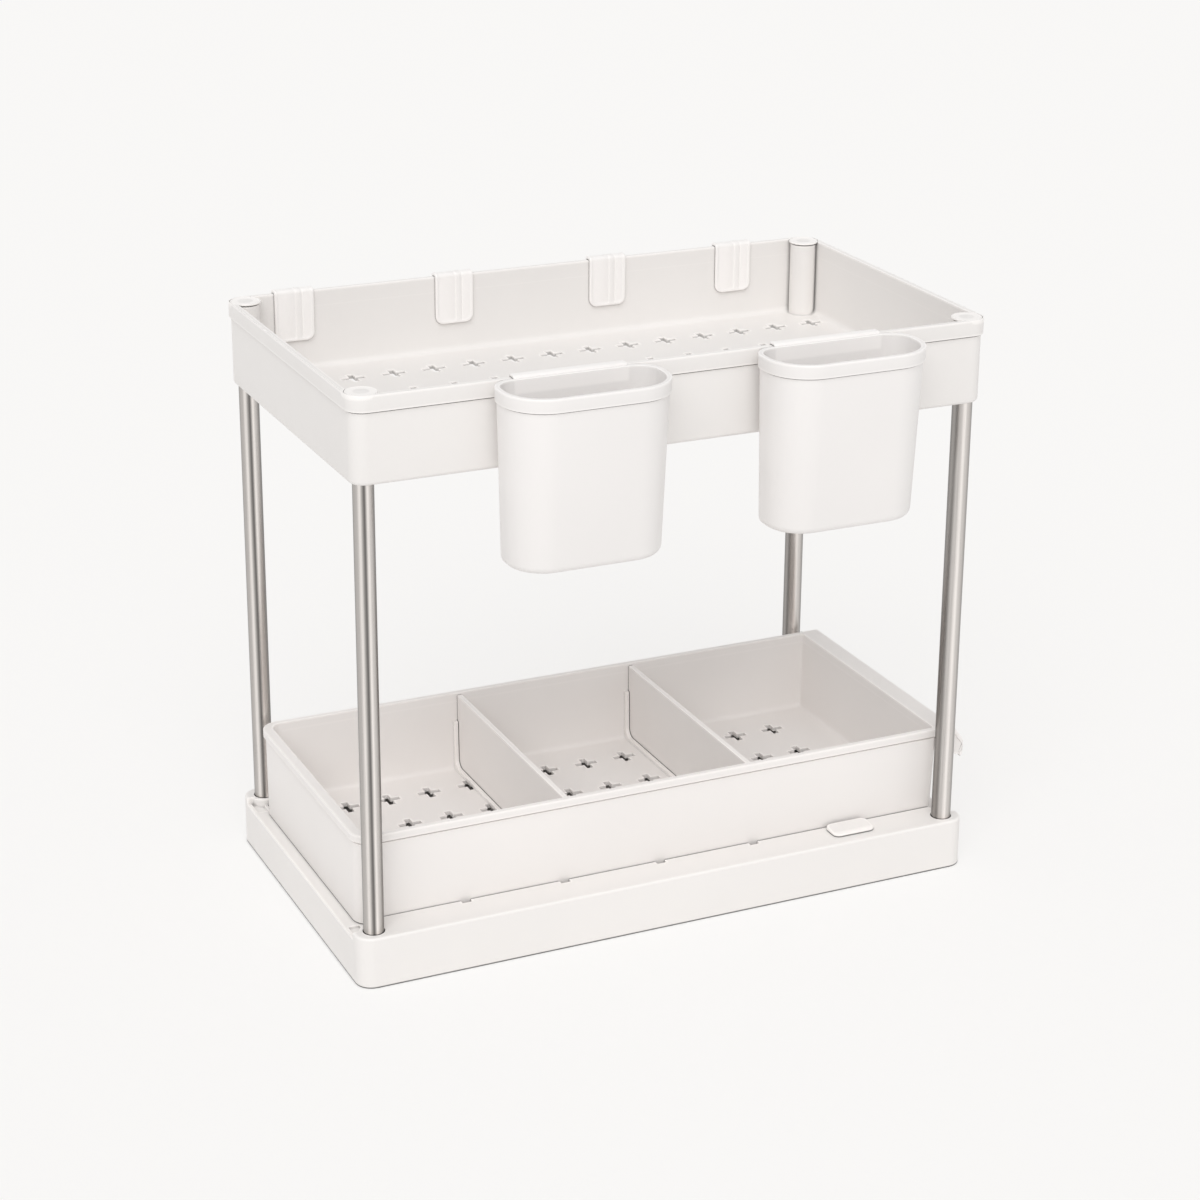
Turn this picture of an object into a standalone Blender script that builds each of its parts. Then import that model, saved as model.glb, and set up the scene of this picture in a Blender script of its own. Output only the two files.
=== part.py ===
"""Two-tier cabinet organizer: a moulded base with a sliding drawer, four steel
posts, an upper tray, two hanging cups and four hanging hooks.

Metres, +Z up. The long side runs along X, the front faces -Y, and the origin
is the middle of the base's flat underside.
"""
import math

import bmesh
import bpy
from mathutils import Vector

MM = 0.001

# Shared fits
GAP = 0.3 * MM
CUT_OVERRUN = 1.0 * MM
WELD = 0.4 * MM
ROUND_STEPS = 20
CORNER_STEPS = 4
EDGE_STEPS = 2
SHARP_ANGLE = math.radians(35.0)

# Base frame
BASE_LENGTH = 400.0 * MM
BASE_DEPTH = 221.0 * MM
BASE_HEIGHT = 31.5 * MM
BASE_CORNER = 10.0 * MM
BASE_EDGE = 1.2 * MM
BASE_FLOOR = 2.5 * MM
BASE_WALL = 2.5 * MM
LEDGE_WIDTH = 24.0 * MM
LEDGE_PLATE = 2.2 * MM
SILL_WIDTH = 11.5 * MM
SILL_DROP = 4.0 * MM
RECESS_MARGIN = 11.0 * MM
POCKET_LENGTH = 8.0 * MM
POCKET_DROP = 1.5 * MM
POCKET_RIM = 2.4 * MM
RAIL_WIDTH = 3.5 * MM
TRACK_WIDTH = 4.5 * MM
TRACK_HEIGHT = 7.3 * MM
CORE_CELLS = 3
CORE_RIB = 2.4 * MM
CORE_END = 28.0 * MM
NOTCH_LENGTH = 6.0 * MM
NOTCH_DEPTH = 3.0 * MM
NOTCH_COUNT = 5
NOTCH_PITCH_SHARE = 0.1671

# Posts and their sockets
POST_RADIUS = 6.0 * MM
POST_WALL = 0.8 * MM
POST_INSET_X = 12.0 * MM
POST_INSET_Y = 10.5 * MM
BOSS_WALL = 2.3 * MM
SOCKET_FLOOR = 3.0 * MM

# Upper tray
TRAY_END_SETBACK = 2.0 * MM
TRAY_BOTTOM = 302.5 * MM
TRAY_HEIGHT = 51.0 * MM
TRAY_CORNER = 10.5 * MM
TRAY_WALL = 2.3 * MM
TRAY_FLOOR = 2.8 * MM
TRAY_EDGE = 2.5 * MM
TRAY_RIM_HEIGHT = 9.5 * MM
TRAY_RIM_PROUD = 1.3 * MM
RIM_EDGE = 0.7 * MM
COLUMN_WALL = 2.0 * MM
COLUMN_SHOULDER = 10.0 * MM

# Post caps
CAP_RADIUS = 9.2 * MM
CAP_THICKNESS = 1.5 * MM
CAP_DISH = 0.6 * MM
CAP_RIM = 1.3 * MM
CAP_COLLAR_RADIUS = 6.0 * MM
CAP_COLLAR_HEIGHT = 0.7 * MM
CAP_PLUG_LENGTH = 20.0 * MM
CAP_PLUG_FIT = 0.5 * MM

# Plus-shaped drain holes
PLUS_SPAN = 14.6 * MM
PLUS_ARM = 4.0 * MM
TRAY_HOLE_PITCH_X = 26.0 * MM
TRAY_HOLE_PITCH_Y = 38.0 * MM
TRAY_HOLE_MARGIN_X = 4.0 * MM
TRAY_HOLE_MARGIN_Y = 20.0 * MM
DRAWER_HOLE_PITCH_X = 27.2 * MM
DRAWER_HOLE_PITCH_Y = 38.0 * MM
DRAWER_HOLE_MARGIN_X = 20.0 * MM
DRAWER_HOLE_MARGIN_Y = 17.0 * MM
DRAWER_HOLE_SHIFT = 2.2 * MM

# Drawer
DRAWER_LEFT_SETBACK = 7.8 * MM
DRAWER_RIGHT_SETBACK = 9.0 * MM
DRAWER_HEIGHT = 57.2 * MM
DRAWER_SIDE_FIT = 0.5 * MM
DRAWER_DRAFT = 1.2 * MM
DRAWER_WALL = 2.2 * MM
DRAWER_END_WALL = 5.0 * MM
DRAWER_LEFT_CORNER = 10.0 * MM
DRAWER_RIGHT_CORNER = 4.0 * MM
DRAWER_FLOOR = 2.2 * MM
DRAWER_FLOOR_LIFT = 3.0 * MM
DRAWER_FLOOR_FILLET = 3.0 * MM
DRAWER_RIM_HEIGHT = 4.8 * MM
DRAWER_RIM_PROUD = 1.5 * MM

# Drawer grip, runner lugs and divider ribs
GRIP_RADIUS = 7.0 * MM
GRIP_REACH = 20.0 * MM
GRIP_DROP = 15.5 * MM
GRIP_THICKNESS = 2.2 * MM
GRIP_CORNER = 5.0 * MM
GRIP_SLOPE = math.radians(36.0)
GRIP_CURL = math.radians(-60.0)
GRIP_STEPS = 7
GRIP_WEB = 2.0 * MM
GRIP_WEB_INSET = 0.8 * MM
LUG_LENGTH = 8.0 * MM
LUG_INSET = 8.2 * MM
LUG_DROP = 3.3 * MM
RIB_THICKNESS = 2.6 * MM
RIB_HEIGHT = 2.2 * MM
RIB_TOP = 33.0 * MM
RIB_BEND = 6.0 * MM

# Dividers
DIVIDER_THICKNESS = 3.4 * MM
DIVIDER_PLACE_SHARE = 0.3148
DIVIDER_DROP = 1.5 * MM
DIVIDER_CORNER = 4.0 * MM
DIVIDER_FIT = 0.4 * MM

# Stop clip
CLIP_LENGTH = 28.0 * MM
CLIP_DEPTH = 14.5 * MM
CLIP_FRONT = 1.3 * MM
CLIP_BACK = 2.5 * MM
CLIP_CORNER = 4.0 * MM
CLIP_TONGUE = 7.5 * MM
CLIP_BARB = 1.2 * MM
CLIP_BARB_HEIGHT = 1.8 * MM

# Hooks
HOOK_PLACE_SHARES = (-0.7869, -0.2652, 0.2591, 0.7061)
HOOK_WIDTH = 24.6 * MM
HOOK_THICKNESS = 1.7 * MM
HOOK_FLAP = 30.0 * MM
HOOK_BACK = 30.0 * MM
HOOK_CORNER = 5.0 * MM
HOOK_BEND = 1.7 * MM
HOOK_FIT = 0.4 * MM
PEG_WIDTH = 12.0 * MM
PEG_THICKNESS = 2.4 * MM
PEG_RADIUS = 6.7 * MM
PEG_DROP = 42.0 * MM
PEG_TIP = 7.0 * MM
PEG_STEPS = 8

# Cups
CUP_PLACE_SHARES = (-0.3586, 0.4465)
CUP_LENGTH = 99.5 * MM
CUP_DEPTH = 45.5 * MM
CUP_HEIGHT = 101.5 * MM
CUP_BACK_CORNER = 15.0 * MM
CUP_FRONT_CORNER = 25.5 * MM
CUP_WALL = 2.2 * MM
CUP_FLOOR = 2.4 * MM
CUP_EDGE = 4.5 * MM
CUP_EDGE_STEPS = 3
CUP_CORNER_STEPS = 5
CUP_TAPER = 3.0 * MM
CUP_BACK_TAPER = 0.6 * MM
CUP_RIM_HEIGHT = 8.0 * MM
CUP_RIM_PROUD = 1.0 * MM
CUP_FIT = 0.5 * MM
HANGER_WIDTH = 68.0 * MM
HANGER_THICKNESS = 1.2 * MM
HANGER_CREST_FIT = 0.3 * MM
HANGER_LIP = 12.0 * MM
HANGER_ROOT = 8.0 * MM
HANGER_BEND = 1.2 * MM

# Finishes
PLASTIC_COLOUR = (0.84, 0.825, 0.80, 1.0)
INSERT_COLOUR = (0.80, 0.785, 0.76, 1.0)
STEEL_COLOUR = (0.62, 0.60, 0.58, 1.0)

# Places worked out from the sizes above
BASE_END = BASE_LENGTH / 2
BASE_SIDE = BASE_DEPTH / 2
BAY_END = BASE_END - SILL_WIDTH
BAY_SIDE = BASE_SIDE - LEDGE_WIDTH
SILL_TOP = BASE_HEIGHT - SILL_DROP
RECESS_SIDE = BAY_SIDE + RECESS_MARGIN
TRACK_SIDE = BAY_SIDE + TRACK_WIDTH
TRACK_TOP = BASE_HEIGHT - LEDGE_PLATE
POST_X = BASE_END - POST_INSET_X
POST_Y = BASE_SIDE - POST_INSET_Y
POST_PLACES = tuple((sx * POST_X, sy * POST_Y) for sy in (-1, 1) for sx in (-1, 1))
SOCKET_RADIUS = POST_RADIUS + GAP
BOSS_RADIUS = SOCKET_RADIUS + BOSS_WALL
COLUMN_RADIUS = SOCKET_RADIUS + COLUMN_WALL
TRAY_TOP = TRAY_BOTTOM + TRAY_HEIGHT
TRAY_RIM_END = BASE_END - TRAY_END_SETBACK
TRAY_RIM_SIDE = BASE_SIDE
TRAY_INSET = TRAY_RIM_PROUD + TRAY_WALL
CAP_SEAT = TRAY_TOP - CAP_THICKNESS
COLUMN_TOP = CAP_SEAT - CAP_COLLAR_HEIGHT - GAP
SHOULDER = COLUMN_TOP - COLUMN_SHOULDER
POST_TOP = SHOULDER - GAP
POST_BORE = POST_RADIUS - POST_WALL
DRAWER_BOTTOM = SILL_TOP + GAP
DRAWER_LEFT = BASE_END - DRAWER_LEFT_SETBACK
DRAWER_RIGHT = BASE_END - DRAWER_RIGHT_SETBACK
DRAWER_FOOT_SIDE = BAY_SIDE - DRAWER_SIDE_FIT
DRAWER_TOP_SIDE = DRAWER_FOOT_SIDE + DRAWER_DRAFT
DRAWER_FLOOR_TOP = DRAWER_FLOOR_LIFT + DRAWER_FLOOR
DIVIDER_PLACE = DIVIDER_PLACE_SHARE * DRAWER_LEFT
SLOT_HALF = DIVIDER_THICKNESS / 2 + GAP
NOTCH_PITCH = NOTCH_PITCH_SHARE * 2 * BAY_END
CLIP_PLACE = NOTCH_PITCH * (NOTCH_COUNT // 2)


def clear_scene():
    """Remove every object, so the model starts from nothing."""
    for item in list(bpy.data.objects):
        bpy.data.objects.remove(item, do_unlink=True)


def make_material(name, colour, roughness, metallic):
    """A Principled material with one colour."""
    material = bpy.data.materials.new(name)
    material.use_nodes = True
    shader = material.node_tree.nodes["Principled BSDF"]
    shader.inputs["Base Color"].default_value = colour
    shader.inputs["Roughness"].default_value = roughness
    shader.inputs["Metallic"].default_value = metallic
    material.diffuse_color = colour
    return material


def arc_points(centre, radius, start, end, steps):
    """Points along an arc in a plane, both ends included."""
    points = []
    for step in range(steps + 1):
        angle = start + (end - start) * step / steps
        points.append((centre[0] + radius * math.cos(angle), centre[1] + radius * math.sin(angle)))
    return points


def rounded_outline(x0, x1, y0, y1, radii, steps=CORNER_STEPS):
    """Counter-clockwise points of a rectangle with round corners.

    The radii go counter-clockwise from the back right corner.
    """
    corners = (
        (x1, y1, -1, -1),
        (x0, y1, 1, -1),
        (x0, y0, 1, 1),
        (x1, y0, -1, 1),
    )
    points = []
    for turn, ((x, y, side_x, side_y), radius) in enumerate(zip(corners, radii)):
        centre = (x + side_x * radius, y + side_y * radius)
        start = 0.5 * math.pi * turn
        points += arc_points(centre, radius, start, start + 0.5 * math.pi, steps)
    return points


def circle_outline(radius, steps=ROUND_STEPS):
    """Counter-clockwise points of a circle round the local origin."""
    turn = 2.0 * math.pi / steps
    return [(radius * math.cos(turn * i), radius * math.sin(turn * i)) for i in range(steps)]


def at_height(outline, z):
    """Lift a flat outline to a ring at height z."""
    return [(x, y, z) for x, y in outline]


def quarter_steps(radius, steps=EDGE_STEPS):
    """Inset and height pairs round a quarter circle, from its foot up."""
    pairs = []
    for step in range(steps + 1):
        angle = 0.5 * math.pi * step / steps
        pairs.append((radius * (1.0 - math.sin(angle)), radius * (1.0 - math.cos(angle))))
    return pairs


def add_object(name, bm, material, location=(0.0, 0.0, 0.0)):
    """Turn a bmesh into a smooth-shaded object of the scene."""
    bmesh.ops.recalc_face_normals(bm, faces=bm.faces)
    mesh = bpy.data.meshes.new(name)
    bm.to_mesh(mesh)
    bm.free()
    mesh.shade_smooth()
    mesh.set_sharp_from_angle(angle=SHARP_ANGLE)
    item = bpy.data.objects.new(name, mesh)
    item.location = location
    bpy.context.scene.collection.objects.link(item)
    if material is not None:
        mesh.materials.append(material)
    return item


def skin_rings(bm, rings, ring_closed=False):
    """Bridge rings of equal count, and cap both ends unless they join up."""
    loops = [[bm.verts.new(point) for point in ring] for ring in rings]
    pairs = list(zip(loops, loops[1:]))
    if ring_closed:
        pairs.append((loops[-1], loops[0]))
    for lower, upper in pairs:
        count = len(lower)
        for i in range(count):
            j = (i + 1) % count
            bm.faces.new((lower[i], lower[j], upper[j], upper[i]))
    if not ring_closed:
        bm.faces.new(list(reversed(loops[0])))
        bm.faces.new(loops[-1])
    return loops


def prism(bm, outline, z0, z1):
    """A straight body over a flat outline."""
    return skin_rings(bm, [at_height(outline, z0), at_height(outline, z1)])


def box(bm, x0, x1, y0, y1, z0, z1):
    """A straight box between two corners."""
    return prism(bm, [(x0, y0), (x1, y0), (x1, y1), (x0, y1)], z0, z1)


def extrude_section(bm, section, x0, x1):
    """A body of constant YZ section that runs along X."""
    near = [(x0, y, z) for y, z in section]
    far = [(x1, y, z) for y, z in section]
    return skin_rings(bm, [near, far])


def strip_section(path, thickness):
    """Close a strip of even thickness round a centre line in YZ."""
    points = [Vector(point) for point in path]
    left = []
    right = []
    for i, point in enumerate(points):
        legs = []
        if i > 0:
            legs.append((point - points[i - 1]).normalized())
        if i < len(points) - 1:
            legs.append((points[i + 1] - point).normalized())
        middle = sum(legs, Vector((0.0, 0.0))) / len(legs)
        normal = Vector((-middle.y, middle.x)).normalized()
        spread = normal * (thickness / 2 / middle.length)
        left.append(tuple(point + spread))
        right.append(tuple(point - spread))
    return left + list(reversed(right))


def boolean(item, other, operation):
    """Cut, join or trim an object with another, apply it and drop the tool."""
    modifier = item.modifiers.new(operation.lower(), "BOOLEAN")
    modifier.operation = operation
    modifier.solver = "EXACT"
    modifier.object = other
    bpy.context.view_layer.update()
    evaluated = item.evaluated_get(bpy.context.evaluated_depsgraph_get())
    mesh = bpy.data.meshes.new_from_object(evaluated)
    item.modifiers.clear()
    item.data = mesh
    mesh.name = item.name
    mesh.shade_smooth()
    mesh.set_sharp_from_angle(angle=SHARP_ANGLE)
    bpy.data.objects.remove(other, do_unlink=True)


def round_edges(bm, edges, radius, segments):
    """Bevel a few edges of a bmesh."""
    bmesh.ops.bevel(
        bm,
        geom=list(edges),
        offset=radius,
        offset_type="OFFSET",
        segments=segments,
        profile=0.5,
        affect="EDGES",
        clamp_overlap=True,
    )


def plus_outline(x, y):
    """Counter-clockwise outline of one plus-shaped hole."""
    span = PLUS_SPAN / 2
    arm = PLUS_ARM / 2
    quarter = ((span, -arm), (span, arm), (arm, arm))
    points = []
    for turn in range(4):
        cosine = round(math.cos(0.5 * math.pi * turn))
        sine = round(math.sin(0.5 * math.pi * turn))
        points += [(x + px * cosine - py * sine, y + px * sine + py * cosine) for px, py in quarter]
    return points


def hole_count(room, margin, pitch):
    """How many holes fit in a row with a margin at both ends."""
    return int((room - 2 * margin - PLUS_SPAN) / pitch) + 1


def plus_field(name, columns, rows, pitch_x, pitch_y, z0, z1):
    """A cutter with a centred field of plus-shaped prisms."""
    bm = bmesh.new()
    for column in range(columns):
        for row in range(rows):
            x = (column - (columns - 1) / 2) * pitch_x
            y = (row - (rows - 1) / 2) * pitch_y
            prism(bm, plus_outline(x, y), z0, z1)
    return add_object(name, bm, None)


def cylinder_field(name, radius, z0, z1):
    """A cutter with one cylinder at each post."""
    bm = bmesh.new()
    for x, y in POST_PLACES:
        outline = [(x + px, y + py) for px, py in circle_outline(radius)]
        prism(bm, outline, z0, z1)
    return add_object(name, bm, None)


# Base frame

def bay_section():
    """Section of the drawer bay with its two runner tracks."""
    rail_side = BAY_SIDE - RAIL_WIDTH
    track_floor = TRACK_TOP - TRACK_HEIGHT
    top = BASE_HEIGHT + CUT_OVERRUN
    half = [
        (rail_side, BASE_FLOOR),
        (rail_side, SILL_TOP),
        (BAY_SIDE, SILL_TOP),
        (BAY_SIDE, track_floor),
        (TRACK_SIDE, track_floor),
        (TRACK_SIDE, TRACK_TOP),
        (BAY_SIDE, TRACK_TOP),
        (BAY_SIDE, top),
    ]
    return half + [(-y, z) for y, z in reversed(half)]


def base_block():
    """Outer block of the base with a rounded top edge."""
    bm = bmesh.new()

    def ring(inset, z):
        return at_height(rounded_outline(
            inset - BASE_END, BASE_END - inset, inset - BASE_SIDE, BASE_SIDE - inset,
            [BASE_CORNER - inset] * 4), z)

    rings = [ring(0.0, 0.0)]
    for inset, rise in reversed(quarter_steps(BASE_EDGE)):
        rings.append(ring(inset, BASE_HEIGHT - rise))
    skin_rings(bm, rings)
    return bm


def sill_pockets():
    """Boxes for the shallow pockets round the inner side of each boss."""
    bm = bmesh.new()
    start = POST_Y - BOSS_RADIUS - POCKET_LENGTH
    for side_x in (-1, 1):
        for side_y in (-1, 1):
            xs = sorted((side_x * (BAY_END + POCKET_RIM), side_x * (BASE_END - POCKET_RIM)))
            ys = sorted((side_y * start, side_y * RECESS_SIDE))
            box(bm, xs[0], xs[1], ys[0], ys[1], SILL_TOP - POCKET_DROP, SILL_TOP + CUT_OVERRUN)
    return add_object("sill_pocket_tool", bm, None)


def end_recess():
    """Cutter that lowers both ends to the sills but spares the round bosses."""
    bm = bmesh.new()
    for side in (-1, 1):
        inner = side * (BAY_END - CUT_OVERRUN)
        outer = side * (BASE_END + CUT_OVERRUN)
        box(bm, min(inner, outer), max(inner, outer), -RECESS_SIDE, RECESS_SIDE,
            SILL_TOP, BASE_HEIGHT + CUT_OVERRUN)
    recess = add_object("end_recess_cutter", bm, None)
    boolean(recess, sill_pockets(), "UNION")
    bosses = cylinder_field("boss_guide", BOSS_RADIUS, SILL_TOP - POCKET_DROP - CUT_OVERRUN,
                            BASE_HEIGHT + 2 * CUT_OVERRUN)
    boolean(recess, bosses, "DIFFERENCE")
    return recess


def ledge_cores():
    """Pockets that hollow both ledges from below, with ribs between them."""
    bm = bmesh.new()
    length = BASE_LENGTH - 2 * CORE_END
    cell = (length - (CORE_CELLS - 1) * CORE_RIB) / CORE_CELLS
    for sy in (-1, 1):
        ys = sorted((sy * (TRACK_SIDE + BASE_WALL), sy * (BASE_SIDE - BASE_WALL)))
        for index in range(CORE_CELLS):
            x0 = -length / 2 + index * (cell + CORE_RIB)
            box(bm, x0, x0 + cell, ys[0], ys[1], -CUT_OVERRUN, TRACK_TOP)
    return add_object("ledge_core_cutter", bm, None)


def ledge_notches():
    """Small square notches in the inner edge of both ledges."""
    bm = bmesh.new()
    for index in range(NOTCH_COUNT):
        x = (index - NOTCH_COUNT // 2) * NOTCH_PITCH
        for sy in (-1, 1):
            ys = sorted((sy * (BAY_SIDE - CUT_OVERRUN), sy * (BAY_SIDE + NOTCH_DEPTH)))
            box(bm, x - NOTCH_LENGTH / 2, x + NOTCH_LENGTH / 2, ys[0], ys[1],
                TRACK_TOP - CUT_OVERRUN, BASE_HEIGHT + CUT_OVERRUN)
    return add_object("ledge_notch_cutter", bm, None)


def build_base(material):
    """Moulded base: ledges, low end sills, runner tracks and post sockets."""
    base = add_object("base_frame", base_block(), material)
    bm = bmesh.new()
    extrude_section(bm, bay_section(), -BAY_END, BAY_END)
    boolean(base, add_object("bay_cutter", bm, None), "DIFFERENCE")
    boolean(base, end_recess(), "DIFFERENCE")
    boolean(base, ledge_cores(), "DIFFERENCE")
    boolean(base, ledge_notches(), "DIFFERENCE")
    sockets = cylinder_field("socket_cutter", SOCKET_RADIUS, SOCKET_FLOOR,
                             BASE_HEIGHT + CUT_OVERRUN)
    boolean(base, sockets, "DIFFERENCE")
    return base


def build_stop_clip(material):
    """Clip in the last front notch, whose tongue stops the drawer."""
    bm = bmesh.new()
    back = -(BAY_SIDE + NOTCH_DEPTH / 2)
    front = back - CLIP_DEPTH
    outline = rounded_outline(CLIP_PLACE - CLIP_LENGTH / 2, CLIP_PLACE + CLIP_LENGTH / 2,
                              front, back, [CLIP_CORNER] * 4)
    foot = BASE_HEIGHT + GAP
    top = []
    for x, y in outline:
        share = (y - front) / CLIP_DEPTH
        top.append((x, y, foot + CLIP_FRONT + (CLIP_BACK - CLIP_FRONT) * share))
    skin_rings(bm, [at_height(outline, foot), top])
    clip = add_object("drawer_stop_clip", bm, material)

    tongue_back = -(BAY_SIDE + GAP)
    tongue_front = -(BAY_SIDE + NOTCH_DEPTH - GAP)
    barb_top = TRACK_TOP - GAP
    section = [
        (tongue_back, BASE_HEIGHT - CLIP_TONGUE),
        (tongue_back, foot + CLIP_FRONT / 2),
        (tongue_front, foot + CLIP_FRONT / 2),
        (tongue_front, barb_top),
        (tongue_front - CLIP_BARB, barb_top),
        (tongue_front, barb_top - CLIP_BARB_HEIGHT),
        (tongue_front, BASE_HEIGHT - CLIP_TONGUE),
    ]
    bm = bmesh.new()
    half = NOTCH_LENGTH / 2 - GAP
    extrude_section(bm, section, CLIP_PLACE - half, CLIP_PLACE + half)
    boolean(clip, add_object("clip_tongue_tool", bm, None), "UNION")
    return clip


# Posts and caps

def build_post(name, x, y, material):
    """Steel tube from the socket in the base to the shoulder in the tray."""
    bm = bmesh.new()
    outer = circle_outline(POST_RADIUS)
    inner = circle_outline(POST_BORE)
    foot = SOCKET_FLOOR + GAP
    length = POST_TOP - foot
    rings = [
        at_height(outer, 0.0),
        at_height(outer, length),
        at_height(inner, length),
        at_height(inner, 0.0),
    ]
    skin_rings(bm, rings, ring_closed=True)
    return add_object(name, bm, material, (x, y, foot))


def build_cap(name, x, y, material):
    """Dished cap with a narrow collar under it and a plug in the tube."""
    plug = POST_BORE - CAP_PLUG_FIT
    dish = CAP_RADIUS - CAP_RIM
    profile = [
        (plug, -CAP_PLUG_LENGTH),
        (plug, -CAP_COLLAR_HEIGHT),
        (CAP_COLLAR_RADIUS, -CAP_COLLAR_HEIGHT),
        (CAP_COLLAR_RADIUS, 0.0),
        (CAP_RADIUS, 0.0),
        (CAP_RADIUS, CAP_THICKNESS),
        (dish, CAP_THICKNESS),
        (dish - CAP_DISH, CAP_THICKNESS - CAP_DISH),
    ]
    bm = bmesh.new()
    skin_rings(bm, [at_height(circle_outline(radius), z) for radius, z in profile])
    return add_object(name, bm, material, (x, y, CAP_SEAT))


# Upper tray

def tray_ring(inset, z):
    """Ring of the tray at a height, drawn in from the rim's outer face."""
    end = TRAY_RIM_END - inset
    side = TRAY_RIM_SIDE - inset
    return at_height(rounded_outline(-end, end, -side, side, [TRAY_CORNER - inset] * 4), z)


def tray_shell():
    """Open shell of the tray, from the underside over the rim to the floor."""
    bm = bmesh.new()
    rings = []
    for inset, rise in quarter_steps(TRAY_EDGE):
        rings.append(tray_ring(TRAY_RIM_PROUD + inset, TRAY_BOTTOM + rise))
    rim_foot = TRAY_TOP - TRAY_RIM_HEIGHT
    rings.append(tray_ring(TRAY_RIM_PROUD, rim_foot))
    rings.append(tray_ring(0.0, rim_foot))
    rings.append(tray_ring(0.0, TRAY_TOP - RIM_EDGE))
    rings.append(tray_ring(RIM_EDGE, TRAY_TOP))
    rings.append(tray_ring(TRAY_INSET, TRAY_TOP))
    floor = TRAY_BOTTOM + TRAY_FLOOR
    for inset, rise in reversed(quarter_steps(TRAY_EDGE)):
        rings.append(tray_ring(TRAY_INSET + inset, floor + rise))
    skin_rings(bm, rings)
    return bm


def build_tray(material):
    """Upper tray with drain holes and a socket column in each corner."""
    tray = add_object("upper_tray", tray_shell(), material)
    under = TRAY_BOTTOM - CUT_OVERRUN
    above = TRAY_TOP + CUT_OVERRUN
    floor = TRAY_BOTTOM + TRAY_FLOOR
    inner_length = 2 * (TRAY_RIM_END - TRAY_INSET)
    inner_depth = 2 * (TRAY_RIM_SIDE - TRAY_INSET)
    columns = hole_count(inner_length, TRAY_HOLE_MARGIN_X, TRAY_HOLE_PITCH_X)
    rows = hole_count(inner_depth, TRAY_HOLE_MARGIN_Y, TRAY_HOLE_PITCH_Y)
    holes = plus_field("tray_hole_cutter", columns, rows, TRAY_HOLE_PITCH_X,
                       TRAY_HOLE_PITCH_Y, under, floor + CUT_OVERRUN)
    boolean(tray, holes, "DIFFERENCE")
    towers = cylinder_field("column_tool", COLUMN_RADIUS, floor - TRAY_FLOOR / 2, COLUMN_TOP)
    boolean(tray, towers, "UNION")
    seats = cylinder_field("cap_seat_cutter", CAP_RADIUS + GAP, CAP_SEAT - GAP, above)
    boolean(tray, seats, "DIFFERENCE")
    sockets = cylinder_field("column_socket_cutter", SOCKET_RADIUS, under, SHOULDER)
    boolean(tray, sockets, "DIFFERENCE")
    bores = cylinder_field("column_bore_cutter", POST_BORE - CAP_PLUG_FIT + GAP,
                           SHOULDER - CUT_OVERRUN, above)
    boolean(tray, bores, "DIFFERENCE")
    return tray


# Drawer, in its own frame with the underside at zero

def drawer_side_at(z):
    """Half depth of the drawer's outer wall at a height above its underside."""
    share = z / (DRAWER_HEIGHT - DRAWER_RIM_HEIGHT)
    return DRAWER_FOOT_SIDE + (DRAWER_TOP_SIDE - DRAWER_FOOT_SIDE) * min(share, 1.0)


def drawer_ring(inset, z):
    """Ring of the drawer at a height; a negative inset stands proud."""
    side = drawer_side_at(z)
    taper = DRAWER_TOP_SIDE - side
    wall_share = min(max(inset / DRAWER_WALL, 0.0), 1.0)
    left_end = inset + (DRAWER_END_WALL - DRAWER_WALL) * wall_share - DRAWER_LEFT
    left = DRAWER_LEFT_CORNER - inset
    right = max(DRAWER_RIGHT_CORNER - inset, RIM_EDGE)
    return at_height(rounded_outline(
        left_end, DRAWER_RIGHT - taper - inset,
        inset - side, side - inset,
        (right, left, left, right)), z)


def drawer_shell():
    """Open drawer with a skirt below its floor and a proud rim."""
    rim_foot = DRAWER_HEIGHT - DRAWER_RIM_HEIGHT
    rim_top = DRAWER_HEIGHT - RIM_EDGE
    rings = [
        drawer_ring(DRAWER_WALL, DRAWER_FLOOR_LIFT),
        drawer_ring(DRAWER_WALL, 0.0),
        drawer_ring(0.0, 0.0),
        drawer_ring(0.0, rim_foot),
        drawer_ring(-DRAWER_RIM_PROUD, rim_foot),
        drawer_ring(-DRAWER_RIM_PROUD, rim_top),
        drawer_ring(RIM_EDGE - DRAWER_RIM_PROUD, DRAWER_HEIGHT),
        drawer_ring(DRAWER_WALL, DRAWER_HEIGHT),
    ]
    for inset, rise in reversed(quarter_steps(DRAWER_FLOOR_FILLET)):
        rings.append(drawer_ring(DRAWER_WALL + inset, DRAWER_FLOOR_TOP + rise))
    bm = bmesh.new()
    skin_rings(bm, rings)
    return bm


def grip_profile(inset):
    """Outer line of the grip in XZ, drawn in: along the flange, down, round the nose."""
    centre = (DRAWER_RIGHT + GRIP_REACH - GRIP_RADIUS, DRAWER_HEIGHT - GRIP_DROP)
    nose = arc_points(centre, GRIP_RADIUS - inset, GRIP_SLOPE, GRIP_CURL, GRIP_STEPS)
    top = DRAWER_HEIGHT - inset
    crest = nose[0][0] - (top - nose[0][1]) * math.tan(GRIP_SLOPE)
    return [(DRAWER_RIGHT - DRAWER_WALL / 2, top), (crest, top)] + nose


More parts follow.
